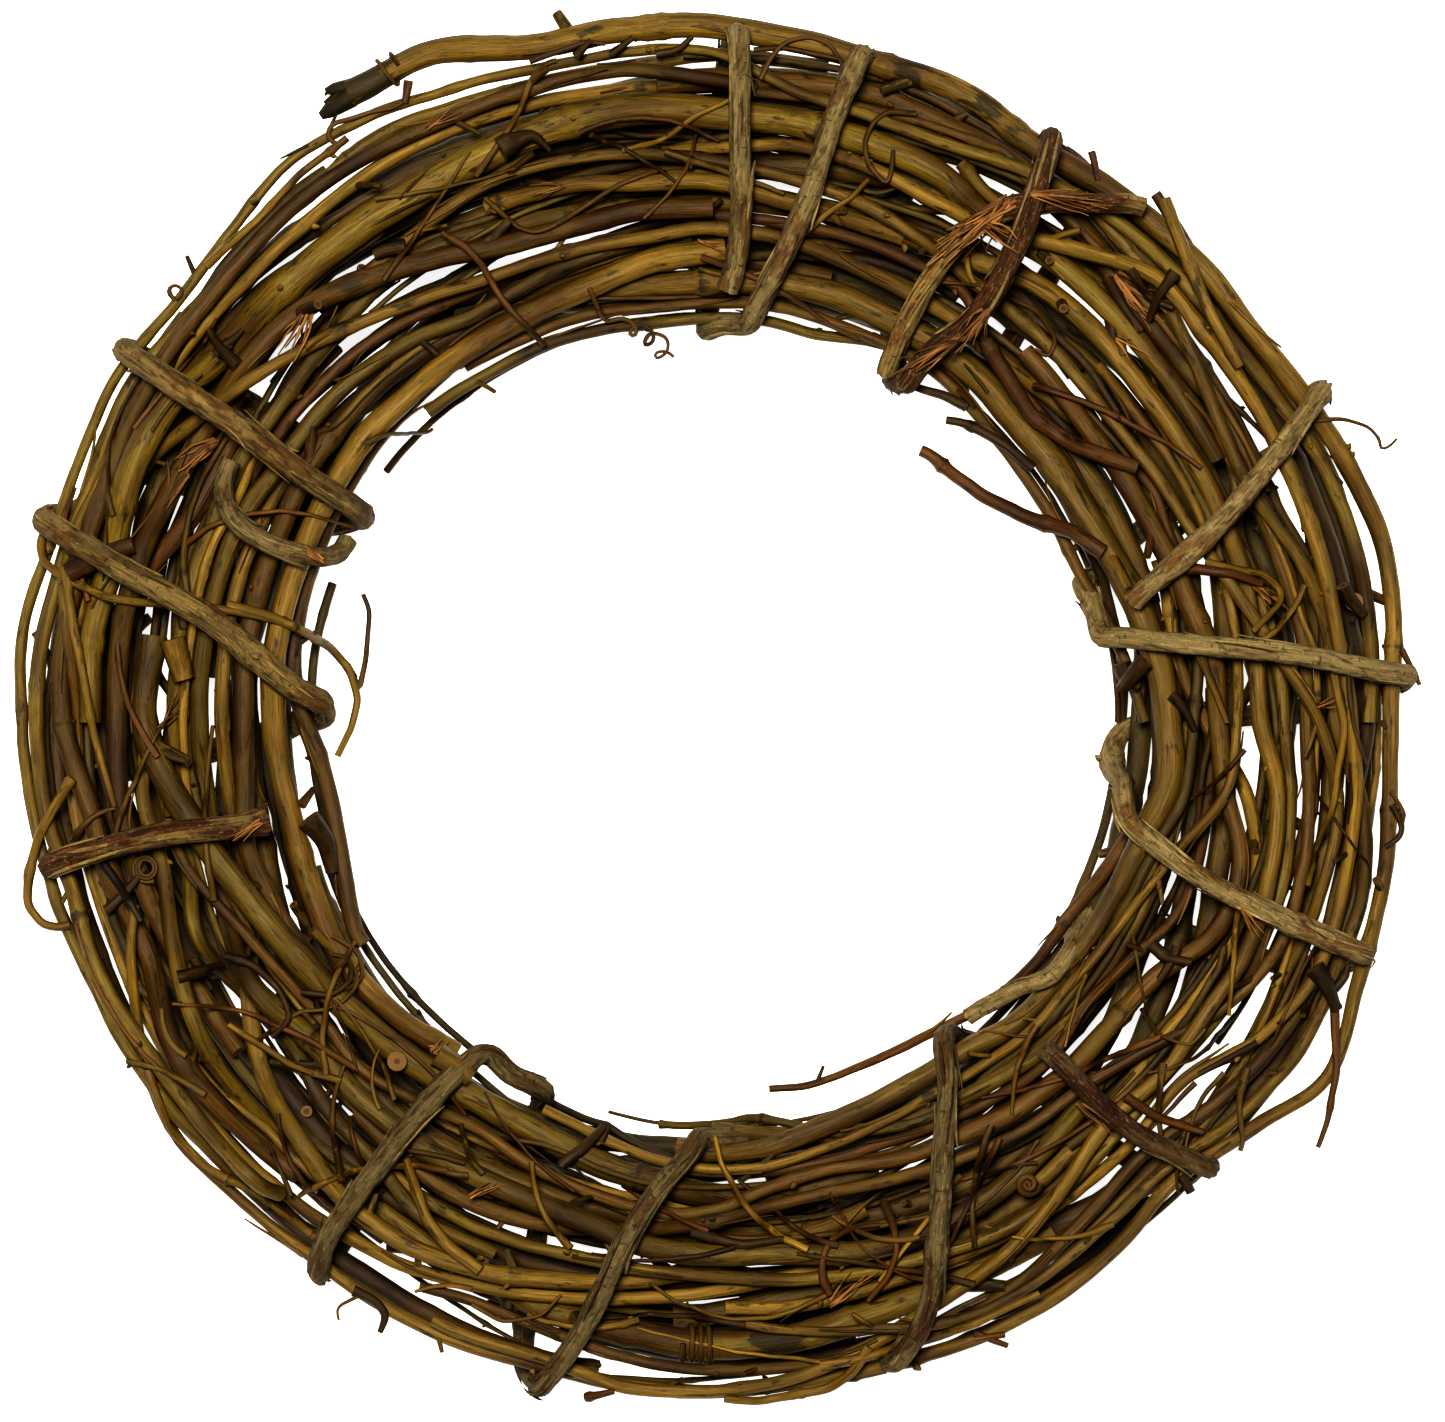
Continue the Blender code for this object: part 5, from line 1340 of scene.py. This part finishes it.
def thin_strands(count, seed):
    """Thin canes drawn by a seeded rule, each settled among the vines and the thin canes before it."""
    draw = np.random.default_rng(seed)
    planes = [[] for station in range(TURN_STATIONS)]
    for node in sorted(frame["nodes"]):
        add_crossings(planes, *line_of(node))
    grid = tops(False)
    strands = []
    for number in range(count):
        reach = draw.uniform(*THIN_REACHES)
        stations = int(draw.uniform(*THIN_PLANES))
        first = int(draw.integers(TURN_STATIONS))
        start = draw.uniform(*THIN_STARTS)
        drift = draw.uniform(*THIN_DRIFTS)
        part = np.linspace(0, 1, stations)
        wave = draw.uniform(*THIN_WAVES)
        swing = np.sin(part * draw.uniform(*THIN_TURNS) + draw.uniform(*THIN_PHASES))
        radius = np.clip(start + drift * part + wave * swing, *THIN_RADII)
        columns = (np.arange(first, first + stations) * STATION / CELL_ANGLE).astype(int) % len(grid)
        rows = ((radius - FIRST_RADIUS) / CELL_RADIUS).astype(int)
        height = smoothed(np.maximum(grid[columns, rows], LEAST_TARGET), 4) - draw.choice(THIN_DEPTHS)
        spot = settled(planes, first, radius, np.clip(height, *THIN_HEIGHTS), reach)
        points = np.array([place((first + i) * STATION, *spot[i]) for i in range(stations)])
        widths = 2 * reach * MM * np.linspace(1.15, 0.7, stations)
        if draw.random() < 0.5:
            widths = widths[::-1]
        add_crossings(planes, points, widths)
        add_tops(grid, points, widths)
        shade = float(draw.uniform(*THIN_SHADES))
        # Thin canes lying deep in the bundle get the same painted shade
        if points[:, 2].mean() < DEEP:
            shade *= PAINTED_DEPTH_SHADE
        strands.append(strand(points, widths, shade, 100.0 + number))
    return strands


class WREATH_OT_thin_canes(bpy.types.Operator):
    """Winds thin canes in between the others"""

    bl_idname = "wreath.thin_canes"
    bl_label = "Thin canes"

    def execute(self, context):
        sizes = settings().sizes
        strands = thin_strands(sizes.thin_canes, sizes.seed)
        loose_groups("thin_canes", strands, THIN_TONES, Sides=10, Step=1.8 * MM, Lumpiness=0.15)
        return {"FINISHED"}


# Twigs and tendrils, each traced from the photograph: widths in millimetres at both ends, then places

TAN_TWIGS = (
    (3.0, 2.6, [(24, 134), (27, 130.5), (30, 129)]),
    (2.0, 1.6, [(312, 149.5), (318, 148.7), (323, 150.5), (328, 151)]),
    (2.2, 1.4, [(80, 106.5), (85, 109), (90, 112.5)]),
    (2.3, 1.8, [(166, 141), (168, 146), (170, 148.5), (176, 149.7), (179, 148.3)]),
    (1.8, 1.4, [(226, 113), (231, 119), (238, 125)]),
    (3.0, 2.2, [(203, 130), (207, 128), (210, 125), (213, 120), (215, 117)]),
    (2.0, 1.8, [(286.5, 152), (285, 153), (283.5, 151), (282.8, 147), (282.2, 142), (281.6, 135),
                (281.8, 128), (282.5, 119), (283, 108), (283.2, 100), (283, 94)]),
    (1.3, 1.1, [(351, 126.5), (354, 127.5), (356, 129), (358, 132), (361.5, 136), (363, 138)]),
    (1.6, 1.1, [(10.5, 108.5), (12.5, 113.5), (15, 119), (16, 123.5)]),
    (1.6, 1.2, [(26.5, 122), (28, 118), (30, 112.5), (32, 111), (34.5, 112)]),
    (2.3, 1.9, [(265, 140.5), (263, 144.5), (260.5, 149.5), (257.5, 153.5, 1), (255, 155.5, 1),
                (253.2, 153.5), (252.5, 150), (252.5, 147.5)]),
    (1.8, 1.4, [(72, 113), (73.5, 118), (75, 125), (77, 128), (78, 127.5), (80.5, 119.5)]),
    (2.0, 1.6, pixels((145, 1064), (168, 1129), (201, 1162), (261, 1194), (317, 1241))),
    (3.2, 2.4, pixels((1165, 190), (1180, 230), (1194, 266), (1215, 315), (1240, 360))),
    (2.4, 1.6, pixels((60, 560), (75, 640), (92, 730), (112, 800))),
    (2.3, 1.6, pixels((225, 598), (262, 606), (294, 620), (322, 638), (343, 662), (351, 692), (344, 722),
                      (330, 750))),
    (2.2, 1.5, pixels((820, 1362), (900, 1345), (975, 1318), (1040, 1288))),
    (2.0, 1.4, pixels((1330, 640), (1345, 720), (1335, 800), (1310, 880))),
    (4.6, 5.6, pixels((182, 672), (176, 650), (171, 632))),
    (4.8, 5.4, pixels((470, 1072), (452, 1058), (436, 1048))),
)
BROWN_TWIGS = (
    (3.6, 3.3, pixels((985, 332), (1032, 408), (1080, 440), (1137, 461))),
    (1.8, 1.2, [(331.5, 120), (332.5, 117), (333.3, 112), (333.3, 107), (333.7, 102), (334.5, 97),
                (336, 90.5)]),
    (4.5, 3.8, [(283, 144.5), (285, 139), (287, 132)]),
    (2.0, 1.5, pixels((406, 69), (404, 80), (402, 92))),
    (1.8, 1.3, pixels((1092, 142), (1096, 155), (1099, 171))),
    (2.2, 1.2, pixels((1338, 1000), (1341, 1065), (1332, 1116), (1322, 1144))),
    (2.2, 1.5, [(258.5, 92), (260.5, 89)]),
    (1.5, 1.0, [(84, 152), (87, 155.5)]),
    (1.8, 1.3, [(157, 147), (154.5, 149)]),
    (2.6, 3.6, pixels((921, 441), (932, 446), (950, 462), (985, 488), (1030, 510), (1072, 523),
                      (1104, 545))),
    (2.0, 1.4, pixels((584, 1396), (612, 1388))),
    (1.8, 1.2, pixels((975, 1329), (1009, 1343))),
    (2.6, 1.8, pixels((1180, 560), (1230, 566), (1262, 576))),
    (2.4, 1.7, pixels((1125, 1090), (1160, 1112), (1205, 1128))),
    (1.7, 1.2, pixels((830, 1288), (821, 1270), (822, 1248), (832, 1232), (852, 1223), (880, 1221))),
    (1.8, 1.1, pixels((884, 1198), (893, 1218), (897, 1245), (888, 1272), (868, 1296))),
)
DARK_TWIGS = (
    (1.5, 1.2, [(120.5, 138.5), (123, 135), (126, 131.5)]),
    (4.2, 3.0, [(82, 95.5), (84, 92), (85.5, 90)]),
    (2.0, 1.4, [(195, 95), (194.5, 91.5)]),
    (1.6, 1.2, [(97, 150), (98.5, 153), (99.5, 153), (100.5, 150)]),
    (2.6, 2.0, [(134, 143), (134.5, 147)]),
    (1.5, 1.0, [(344.5, 150), (349.5, 151.5), (351, 150.3)]),
    (2.2, 1.2, pixels((575, 48), (583, 38), (590, 31))),
    (2.0, 1.0, pixels((610, 44), (622, 36), (632, 28))),
    (2.0, 1.2, pixels((655, 44), (678, 40), (691, 27))),
    (1.8, 2.4, pixels((947, 411), (965, 414), (985, 424), (1010, 438), (1034, 460))),
    (1.6, 2.4, pixels((904, 374), (922, 380), (944, 386), (968, 398))),
    (4.4, 3.2, pixels((1123, 655), (1128, 672), (1142, 679))),
    (5.6, 1.0, pixels((500, 142), (518, 131), (534, 126), (549, 142))),
    (3.2, 1.6, pixels((236, 358), (216, 338), (205, 320))),
    (2.4, 1.2, pixels((212, 346), (226, 334), (240, 320))),
    (2.4, 1.6, pixels((1109, 270), (1125, 300), (1142, 323))),
    (2.2, 1.4, pixels((1130, 262), (1150, 290), (1174, 300))),
    (2.6, 1.4, pixels((1175, 265), (1158, 288), (1150, 312))),
    (3.4, 2.4, pixels((1344, 578), (1352, 592), (1366, 608))),
    (2.6, 1.3, pixels((350, 1288), (372, 1298), (384, 1312), (377, 1330))),
    (3.0, 1.6, pixels((178, 970), (196, 966), (220, 958))),
    (2.6, 1.2, pixels((190, 952), (198, 968), (208, 984))),
    (2.0, 1.2, pixels((224, 950), (252, 958), (280, 985), (290, 1012), (270, 1030))),
    (1.6, 1.0, pixels((300, 985), (330, 990), (350, 975), (348, 952), (330, 948))),
    (2.2, 1.4, pixels((98, 852), (118, 880), (140, 914))),
    (2.4, 1.6, pixels((104, 904), (126, 884), (142, 862))),
    (2.6, 1.6, pixels((1172, 688), (1186, 703), (1196, 724))),
    (2.4, 1.6, pixels((690, 1225), (740, 1238), (790, 1232))),
    (2.8, 1.8, pixels((560, 1160), (585, 1140), (602, 1122))),
    (5.5, 3.0, pixels((306, 812), (322, 832), (329, 866))),
    (3.4, 2.6, pixels((404, 238), (386, 240), (372, 246))),
    (4.6, 2.4, pixels((1316, 962), (1328, 978), (1340, 1004))),
    (2.6, 1.4, pixels((1330, 990), (1346, 976), (1352, 960))),
    (3.0, 1.8, pixels((1152, 938), (1168, 952), (1192, 956))),
    (2.4, 1.6, pixels((1178, 940), (1172, 958), (1160, 974))),
)
TENDRILS = (
    (1.2, 1.0, [(336.5, 125), (338.5, 116), (340, 113.5), (342, 113.5), (346, 116), (350, 119),
                (355, 121.5)]),
    (1.2, 1.0, pixels((760, 70), (770, 48), (785, 32), (808, 26), (830, 34), (844, 58))),
    (1.2, 1.0, [(3.5, 147.5), (6, 148.5), (11, 147.8)]),
    (1.3, 0.9, [(18.5, 140.5), (16, 139), (15, 136), (14.6, 131), (15.5, 126.5), (18, 123, 1),
                (18, 126, 1), (17.5, 131)]),
    (1.1, 0.8, [(235, 122), (235, 115), (235, 110), (233.5, 106), (232.8, 101), (233.5, 96.5),
                (235.5, 94.8), (237, 97)]),
    (1.2, 0.9, [(327, 151), (326.5, 154), (327.5, 156), (329, 154.5), (331, 153.5), (332.5, 152),
                (334, 152.5), (334.5, 155.5)]),
    (1.0, 0.6, pixels((1320, 412), (1345, 410), (1372, 418), (1385, 433), (1381, 441), (1390, 441),
                      (1400, 430))),
    (1.0, 0.8, pixels((1394, 785), (1408, 805), (1406, 822), (1398, 836))),
    (0.9, 0.6, [(211.5, 147.5), (212.8, 153), (212, 155)]),
    (1.0, 0.7, pixels((588, 280), (596, 298), (604, 314, 1), (618, 308, 2), (632, 312, 3), (638, 326, 3),
                      (626, 328, 3), (634, 314, 3), (652, 320, 4), (654, 334, 4), (641, 338, 3),
                      (648, 322, 3), (667, 328, 4), (668, 343, 4), (654, 352, 3), (652, 343, 3),
                      (666, 341, 3), (673, 348, 3))),
    (1.7, 1.1, spiral(1028, 1178, 13, 3, 2.2)),
    (1.1, 0.8, spiral(143, 862, 15, 8, 2.5, 1.0)),
    (1.0, 0.7, pixels((170, 290), (162, 282), (166, 274), (176, 275), (180, 284), (172, 290, 1))),
    (1.0, 0.7, pixels((40, 545), (34, 534), (40, 526), (50, 530), (50, 542), (41, 546, 1))),
    (1.8, 1.1, pixels((280, 612), (294, 620), (322, 638), (342, 660), (352, 684), (359, 650), (363, 601),
                      (356, 585))),
    (1.1, 0.8, pixels((441, 225), (478, 252), (500, 294), (542, 337))),
    (1.2, 0.8, pixels((1010, 285), (1040, 300), (1058, 330), (1050, 350), (1036, 340))),
    (0.9, 0.6, pixels((1145, 1005), (1160, 1030), (1190, 1040), (1205, 1022))),
    (1.0, 0.7, pixels((470, 1300), (500, 1318), (540, 1312), (560, 1290))),
    (1.1, 0.7, pixels((330, 930), (356, 945), (362, 970), (344, 985), (330, 970, 1), (345, 955, 1))),
)

# Tendrils wound round a vine: node, clock angle, turns, width and length in millimetres
COILS = (
    ("cane_outer_8", 181.5, 3.4, 1.3, 7),
    ("cane_inner_2", 236, 1.6, 1.1, 8),
    ("cane_outer_1", 334, 1.3, 0.9, 6),
)

# Twigs that lie aslant on the canes: tones of bark, steps, lift, the radii they keep to, clock angles of
# every other one, and ranges of their first radius, slant in degrees, length, curl, width, taper and shade
ASLANT_TONES = ("tan", "brown", "red")
ASLANT_STEPS = 6
ASLANT_LIFT = 0.3
ASLANT_RADII = (90, 149)
BUSY_ANGLES = (110, 235)
ASLANT_STARTS = (97, 143)
ASLANT_SLANTS = (8, 38)
ASLANT_LENGTHS = (12, 44)
ASLANT_CURLS = (-1.1, 1.1)
ASLANT_WIDTHS = (0.8, 1.8)
ASLANT_TAPERS = (0.4, 0.8)
ASLANT_SHADES = (0.5, 1.4)


def wound(node, angle, turns, wide, long):
    """A tendril wound round a vine near this clock angle, over this length in millimetres."""
    points, widths = line_of(node)
    count = max(int(long * MM / CANE_SPACING), 2)
    nearest = int(np.argmin(np.abs(turned_from(polar(points)[0], angle))))
    first = max(nearest - count // 2, 0)
    steps = int(turns * 12)
    turn = np.linspace(0, turns * 2 * math.pi, steps)
    route = off_line(points, widths, first, count, turn, np.full(steps, wide / 2 * MM))
    return strand(route, wide * MM, 0.9)


def crossing_strands(count, seed):
    """Short twigs that lie aslant on the canes, by a seeded rule."""
    draw = np.random.default_rng(seed + 5)
    strands = []
    for number in range(count):
        angle = draw.uniform(0, 360) if number % 2 else draw.uniform(*BUSY_ANGLES)
        radius = draw.uniform(*ASLANT_STARTS)
        slant = math.radians(draw.uniform(*ASLANT_SLANTS) * draw.choice([-1, 1]))
        step = draw.uniform(*ASLANT_LENGTHS) / ASLANT_STEPS
        curl = draw.uniform(*ASLANT_CURLS)
        path = [(angle, radius, ASLANT_LIFT)]
        for part in np.arange(ASLANT_STEPS) / ASLANT_STEPS:
            heading = slant + curl * part
            angle += math.degrees(step * math.cos(heading) / radius)
            radius = min(max(radius + step * math.sin(heading), ASLANT_RADII[0]), ASLANT_RADII[1])
            path.append((angle, radius, ASLANT_LIFT))
        wide = draw.uniform(*ASLANT_WIDTHS)
        twig = laid(path, wide, wide * draw.uniform(*ASLANT_TAPERS), reach=3)
        twig["shade"] = float(draw.uniform(*ASLANT_SHADES))
        strands.append(twig)
    return strands


class WREATH_OT_twigs(bpy.types.Operator):
    """Lays the twigs and tendrils on the canes"""

    bl_idname = "wreath.twigs"
    bl_label = "Twigs and tendrils"

    def execute(self, context):
        brown = settings().colours.brown
        dark = finish("dark_bark", lambda name: cane_bark(name, times(brown, 0.55), times(brown, 0.4)))
        for name, table, slot, bark in (
                ("tan_twigs", TAN_TWIGS, "cane_tan", None), ("brown_twigs", BROWN_TWIGS, "cane_red", None),
                ("dark_twigs", DARK_TWIGS, "cane_brown", dark)):
            twigs = [laid(path, wide, narrow) for wide, narrow, path in table]
            loose_piece(name, twigs, slot, bark, Waver=0.3 * MM)
        curls = [laid(path, wide, narrow) for wide, narrow, path in TENDRILS]
        curls.extend(wound(*coil) for coil in COILS)
        loose_piece("tendrils", curls, "cane_brown", Waver=0.1 * MM, Step=0.7 * MM)
        sizes = settings().sizes
        across = crossing_strands(sizes.crossing_twigs, sizes.seed)
        loose_groups("crossing_twigs", across, ASLANT_TONES, Waver=0.6 * MM)
        return {"FINISHED"}


# Torn wood: where the fibres start and end in pixels, how many, a seed, the spread in pixels, the lift and
# the width in millimetres

TORN = (
    ((1006, 196), (938, 250), 34, 3, 9, 3.0, 0.75),
    ((975, 215), (1005, 245), 12, 4, 8, 2.5, 0.6),
    ((1030, 190), (1100, 196), 14, 5, 5, 1.0, 0.6),
    ((212, 432), (180, 462), 18, 6, 5, 1.5, 0.8),
    ((186, 466), (163, 500), 9, 7, 4, 1.0, 0.7),
    ((985, 305), (962, 340), 16, 8, 6, 1.5, 0.7),
    ((960, 330), (905, 362), 14, 9, 6, 1.5, 0.7),
    ((262, 815), (236, 835), 8, 10, 4, 1.0, 0.5),
    ((322, 555), (306, 546), 8, 12, 4, 1.0, 0.6),
    ((1078, 1100), (1104, 1122), 9, 13, 4, 1.0, 0.5),
    ((1118, 330), (1140, 352), 8, 14, 6, 1.5, 0.5),
    ((1255, 575), (1286, 600), 14, 15, 5, 1.5, 0.8),
    ((700, 232), (722, 242), 7, 16, 4, 1.0, 0.5),
    ((430, 1046), (444, 1040), 9, 26, 5, 1.0, 0.7),
    ((1115, 270), (1165, 312), 16, 21, 10, 2.0, 0.8),
    ((310, 300), (285, 345), 9, 22, 5, 1.5, 0.7),
    ((560, 180), (530, 190), 7, 23, 5, 1.5, 0.5),
    ((830, 1300), (870, 1270), 8, 24, 7, 2.0, 0.6),
    ((1240, 900), (1262, 930), 7, 25, 6, 1.5, 0.5),
    ((425, 118), (460, 104), 7, 17, 5, 1.5, 0.5),
    ((1320, 700), (1345, 690), 6, 18, 5, 1.5, 0.4),
    ((470, 1190), (500, 1180), 7, 19, 5, 1.5, 0.5),
    ((160, 720), (180, 690), 7, 20, 5, 1.5, 0.5),
)

# Stumps with a cut end that faces up: pixel, width and how far proud in millimetres
STUMPS = (
    (397, 1056, 4.2, 0.7), (303, 1110, 2.6, 0.5), (1356, 592, 4.0, 0.8),
)
STUMP_DEPTH = 7 * MM

# Torn fibres: how their ends and bends stray as a share of the spread, and ranges of their length and width
FIBRE_STRAY = 0.35
FIBRE_LENGTHS = (0.55, 1.1)
FIBRE_WIDTHS = (0.7, 1.6)

# Splinters: ranges of their length in points of a cane, turn, twist, width and lift in millimetres
SPLINTER_RUNS = (3, 9)
SPLINTER_TURNS = (-1.3, 1.3)
SPLINTER_TWISTS = (-0.9, 0.9)
SPLINTER_SIZES = (0.5, 1.1)
SPLINTER_LIFTS = (0.3, 2.2)
SPLINTER_TAPER = np.array([1.0, 1.0, 0.9, 0.7, 0.45])

# The range of shades of splinters and torn fibres
TORN_SHADES = (0.5, 1.5)


def splinter_strands(count, seed):
    """Fine splinters that stand off the canes, by a seeded rule."""
    draw = np.random.default_rng(seed + 11)
    canes = [line_of(node) for node in nodes_with("cane")]
    part = np.linspace(0, 1, len(SPLINTER_TAPER))
    strands = []
    for number in range(count):
        points, widths = canes[int(draw.integers(len(canes)))]
        run = int(draw.integers(*SPLINTER_RUNS))
        first = int(draw.integers(1, len(points) - run - 1))
        turn = draw.uniform(*SPLINTER_TURNS) + draw.uniform(*SPLINTER_TWISTS) * part
        size = draw.uniform(*SPLINTER_SIZES) * MM
        lifts = -0.3 * size + draw.uniform(*SPLINTER_LIFTS) * MM * part ** 2
        taper = SPLINTER_TAPER
        if draw.random() < 0.5:
            lifts = lifts[::-1]
            taper = taper[::-1]
        route = above_floor(off_line(points, widths, first, run, turn, lifts), size)
        strands.append(strand(route, taper * size, float(draw.uniform(*TORN_SHADES)), 300.0 + number))
    return strands


def fibres(start, end, count, seed, spread, lift, size):
    """Torn fibres that fan out from one place to another, both in pixels of the photograph."""
    draw = np.random.default_rng(seed)
    strands = []
    for number in range(count):
        shift = draw.normal(0, FIBRE_STRAY, 2) * spread
        fan = draw.normal(0, 1.0, 2) * spread
        bend = draw.normal(0, FIBRE_STRAY, 2) * spread
        first = np.array(start) + shift
        last = first + (np.array(end) - start) * draw.uniform(*FIBRE_LENGTHS) + fan
        middle = (first + last) / 2 + bend
        path = pixels((*first, 0.3), (*middle, draw.uniform(0.3, 1.0) * lift),
                      (*last, draw.uniform(0, 1) * lift))
        fibre = laid(path, size * draw.uniform(*FIBRE_WIDTHS), size * 0.4, over_binders=True)
        fibre["shade"] = float(draw.uniform(*TORN_SHADES))
        strands.append(fibre)
    return strands


def standing(x, y, wide, proud):
    """A short stump whose cut end faces up, at a pixel of the photograph."""
    angle, radius, lift = pixels((x, y, proud))[0]
    top = laid([(angle, radius, lift), (angle + 0.4, radius, lift)], wide, wide)["points"].mean(0)
    foot = top - np.array(UP) * STUMP_DEPTH
    return strand([foot, (foot + top) / 2, top], wide * MM, 0.8)


class WREATH_OT_torn_wood(bpy.types.Operator):
    """Adds splinters, torn fibres and stumps with their cut ends"""

    bl_idname = "wreath.torn_wood"
    bl_label = "Torn and cut wood"

    def execute(self, context):
        sizes = settings().sizes
        splinters = splinter_strands(sizes.splinters, sizes.seed)
        loose_piece("splinters", splinters, "cane_brown", Sides=5, Waver=0.2 * MM, **NO_KNUCKLES)
        strands = []
        for row in TORN:
            strands.extend(fibres(*row))
        colour = settings().colours.torn
        torn = finish("torn_fibre", lambda name: cane_bark(name, colour, times(colour, 0.5)))
        curly = {"Waver": 0.35 * MM, "Waver Length": 4 * MM, **NO_KNUCKLES}
        loose_piece("torn_fibres", strands, "cane_red", torn, Sides=5, **curly)
        stumps = [standing(*row) for row in STUMPS]
        loose_piece("stumps", stumps, "cane_brown", Sides=16, Waver=0.0, **NO_KNUCKLES)
        return {"FINISHED"}


# Stage

VIEW_POINT = Vector((0.35, -2.2, 30)) * MM
VIEW_WIDTH = 318.0 * MM
VIEW_DISTANCE = 1.6
SENSOR_WIDTH = 36.0
FLOOR_HALF = 1.5
FLOOR_GLOW = 0.5
WORLD_LIGHT = 0.1
CONTRAST = "Very High Contrast"

# Lamps that face the origin: name, place and size in metres, power in watts
LAMPS = (
    ("key", (-0.14, 0.26, 1.8), 0.45, 48),
    ("fill", (0.8, -0.6, 1.2), 0.8, 2),
)
LIGHT_COLOUR = (1.0, 0.965, 0.86)


def floor_material(name):
    """A pale floor that shines a little by itself."""
    material, graph, shader = surface(name, 0.9)
    shader.inputs["Base Color"].default_value = full(settings().colours.floor)
    shader.inputs["Emission Color"].default_value = (1, 1, 1, 1)
    shader.inputs["Emission Strength"].default_value = FLOOR_GLOW
    return material


def area_light(name, location, size, power):
    lamp = bpy.data.lights.new(name, "AREA")
    lamp.shape = "DISK"
    lamp.size = size
    lamp.energy = power
    lamp.color = LIGHT_COLOUR
    thing = bpy.data.objects.new(name, lamp)
    thing.location = location
    thing.rotation_euler = (-Vector(location)).to_track_quat("-Z", "Y").to_euler()
    bpy.context.scene.collection.objects.link(thing)


class WREATH_OT_stage(bpy.types.Operator):
    """Sets out the floor, the light and the camera"""

    bl_idname = "wreath.stage"
    bl_label = "Floor, light and camera"

    def execute(self, context):
        scene = context.scene
        mesh = bpy.data.meshes.new("floor")
        corners = [(x * FLOOR_HALF, y * FLOOR_HALF, 0) for x, y in ((-1, -1), (1, -1), (1, 1), (-1, 1))]
        mesh.from_pydata(corners, [], [(0, 1, 2, 3)])
        floor = bpy.data.objects.new("floor", mesh)
        scene.collection.objects.link(floor)
        mesh.materials.append(floor_material("floor"))

        world = bpy.data.worlds.new("studio")
        world.use_nodes = True
        background = world.node_tree.nodes["Background"]
        background.inputs["Color"].default_value = (1, 1, 1, 1)
        background.inputs["Strength"].default_value = WORLD_LIGHT
        scene.world = world
        scene.view_settings.view_transform = "Standard"
        scene.view_settings.look = CONTRAST
        for lamp in LAMPS:
            area_light(*lamp)

        data = bpy.data.cameras.new("camera")
        data.sensor_width = SENSOR_WIDTH
        data.lens = SENSOR_WIDTH * VIEW_DISTANCE / VIEW_WIDTH
        camera = bpy.data.objects.new("camera", data)
        camera.location = VIEW_POINT + Vector((0, 0, VIEW_DISTANCE))
        scene.collection.objects.link(camera)
        scene.camera = camera
        return {"FINISHED"}


# The add-on

OPERATORS = (
    WREATH_OT_outer_canes,
    WREATH_OT_middle_canes,
    WREATH_OT_inner_canes,
    WREATH_OT_under_canes,
    WREATH_OT_binders,
    WREATH_OT_thin_canes,
    WREATH_OT_twigs,
    WREATH_OT_torn_wood,
    WREATH_OT_stage,
)


class WREATH_PT_panel(bpy.types.Panel):
    """Lists the wreath's settings and pieces"""

    bl_idname = "WREATH_PT_panel"
    bl_label = "Grapevine wreath"
    bl_space_type = "VIEW_3D"
    bl_region_type = "UI"
    bl_category = "Wreath"

    def draw(self, context):
        layout = self.layout
        for group in (context.scene.wreath.sizes, context.scene.wreath.colours):
            for name in group.__annotations__:
                layout.prop(group, name)
        for operator in OPERATORS:
            layout.operator(operator.bl_idname)


CLASSES = (WreathSizes, WreathColours, WreathSettings, *OPERATORS, WREATH_PT_panel)


def register():
    for item in CLASSES:
        bpy.utils.register_class(item)
    bpy.types.Scene.wreath = PointerProperty(type=WreathSettings)


def unregister():
    del bpy.types.Scene.wreath
    for item in reversed(CLASSES):
        bpy.utils.unregister_class(item)


def main():
    register()
    for operator in OPERATORS:
        group, name = operator.bl_idname.split(".")
        getattr(getattr(bpy.ops, group), name)()


if __name__ == "__main__":
    main()
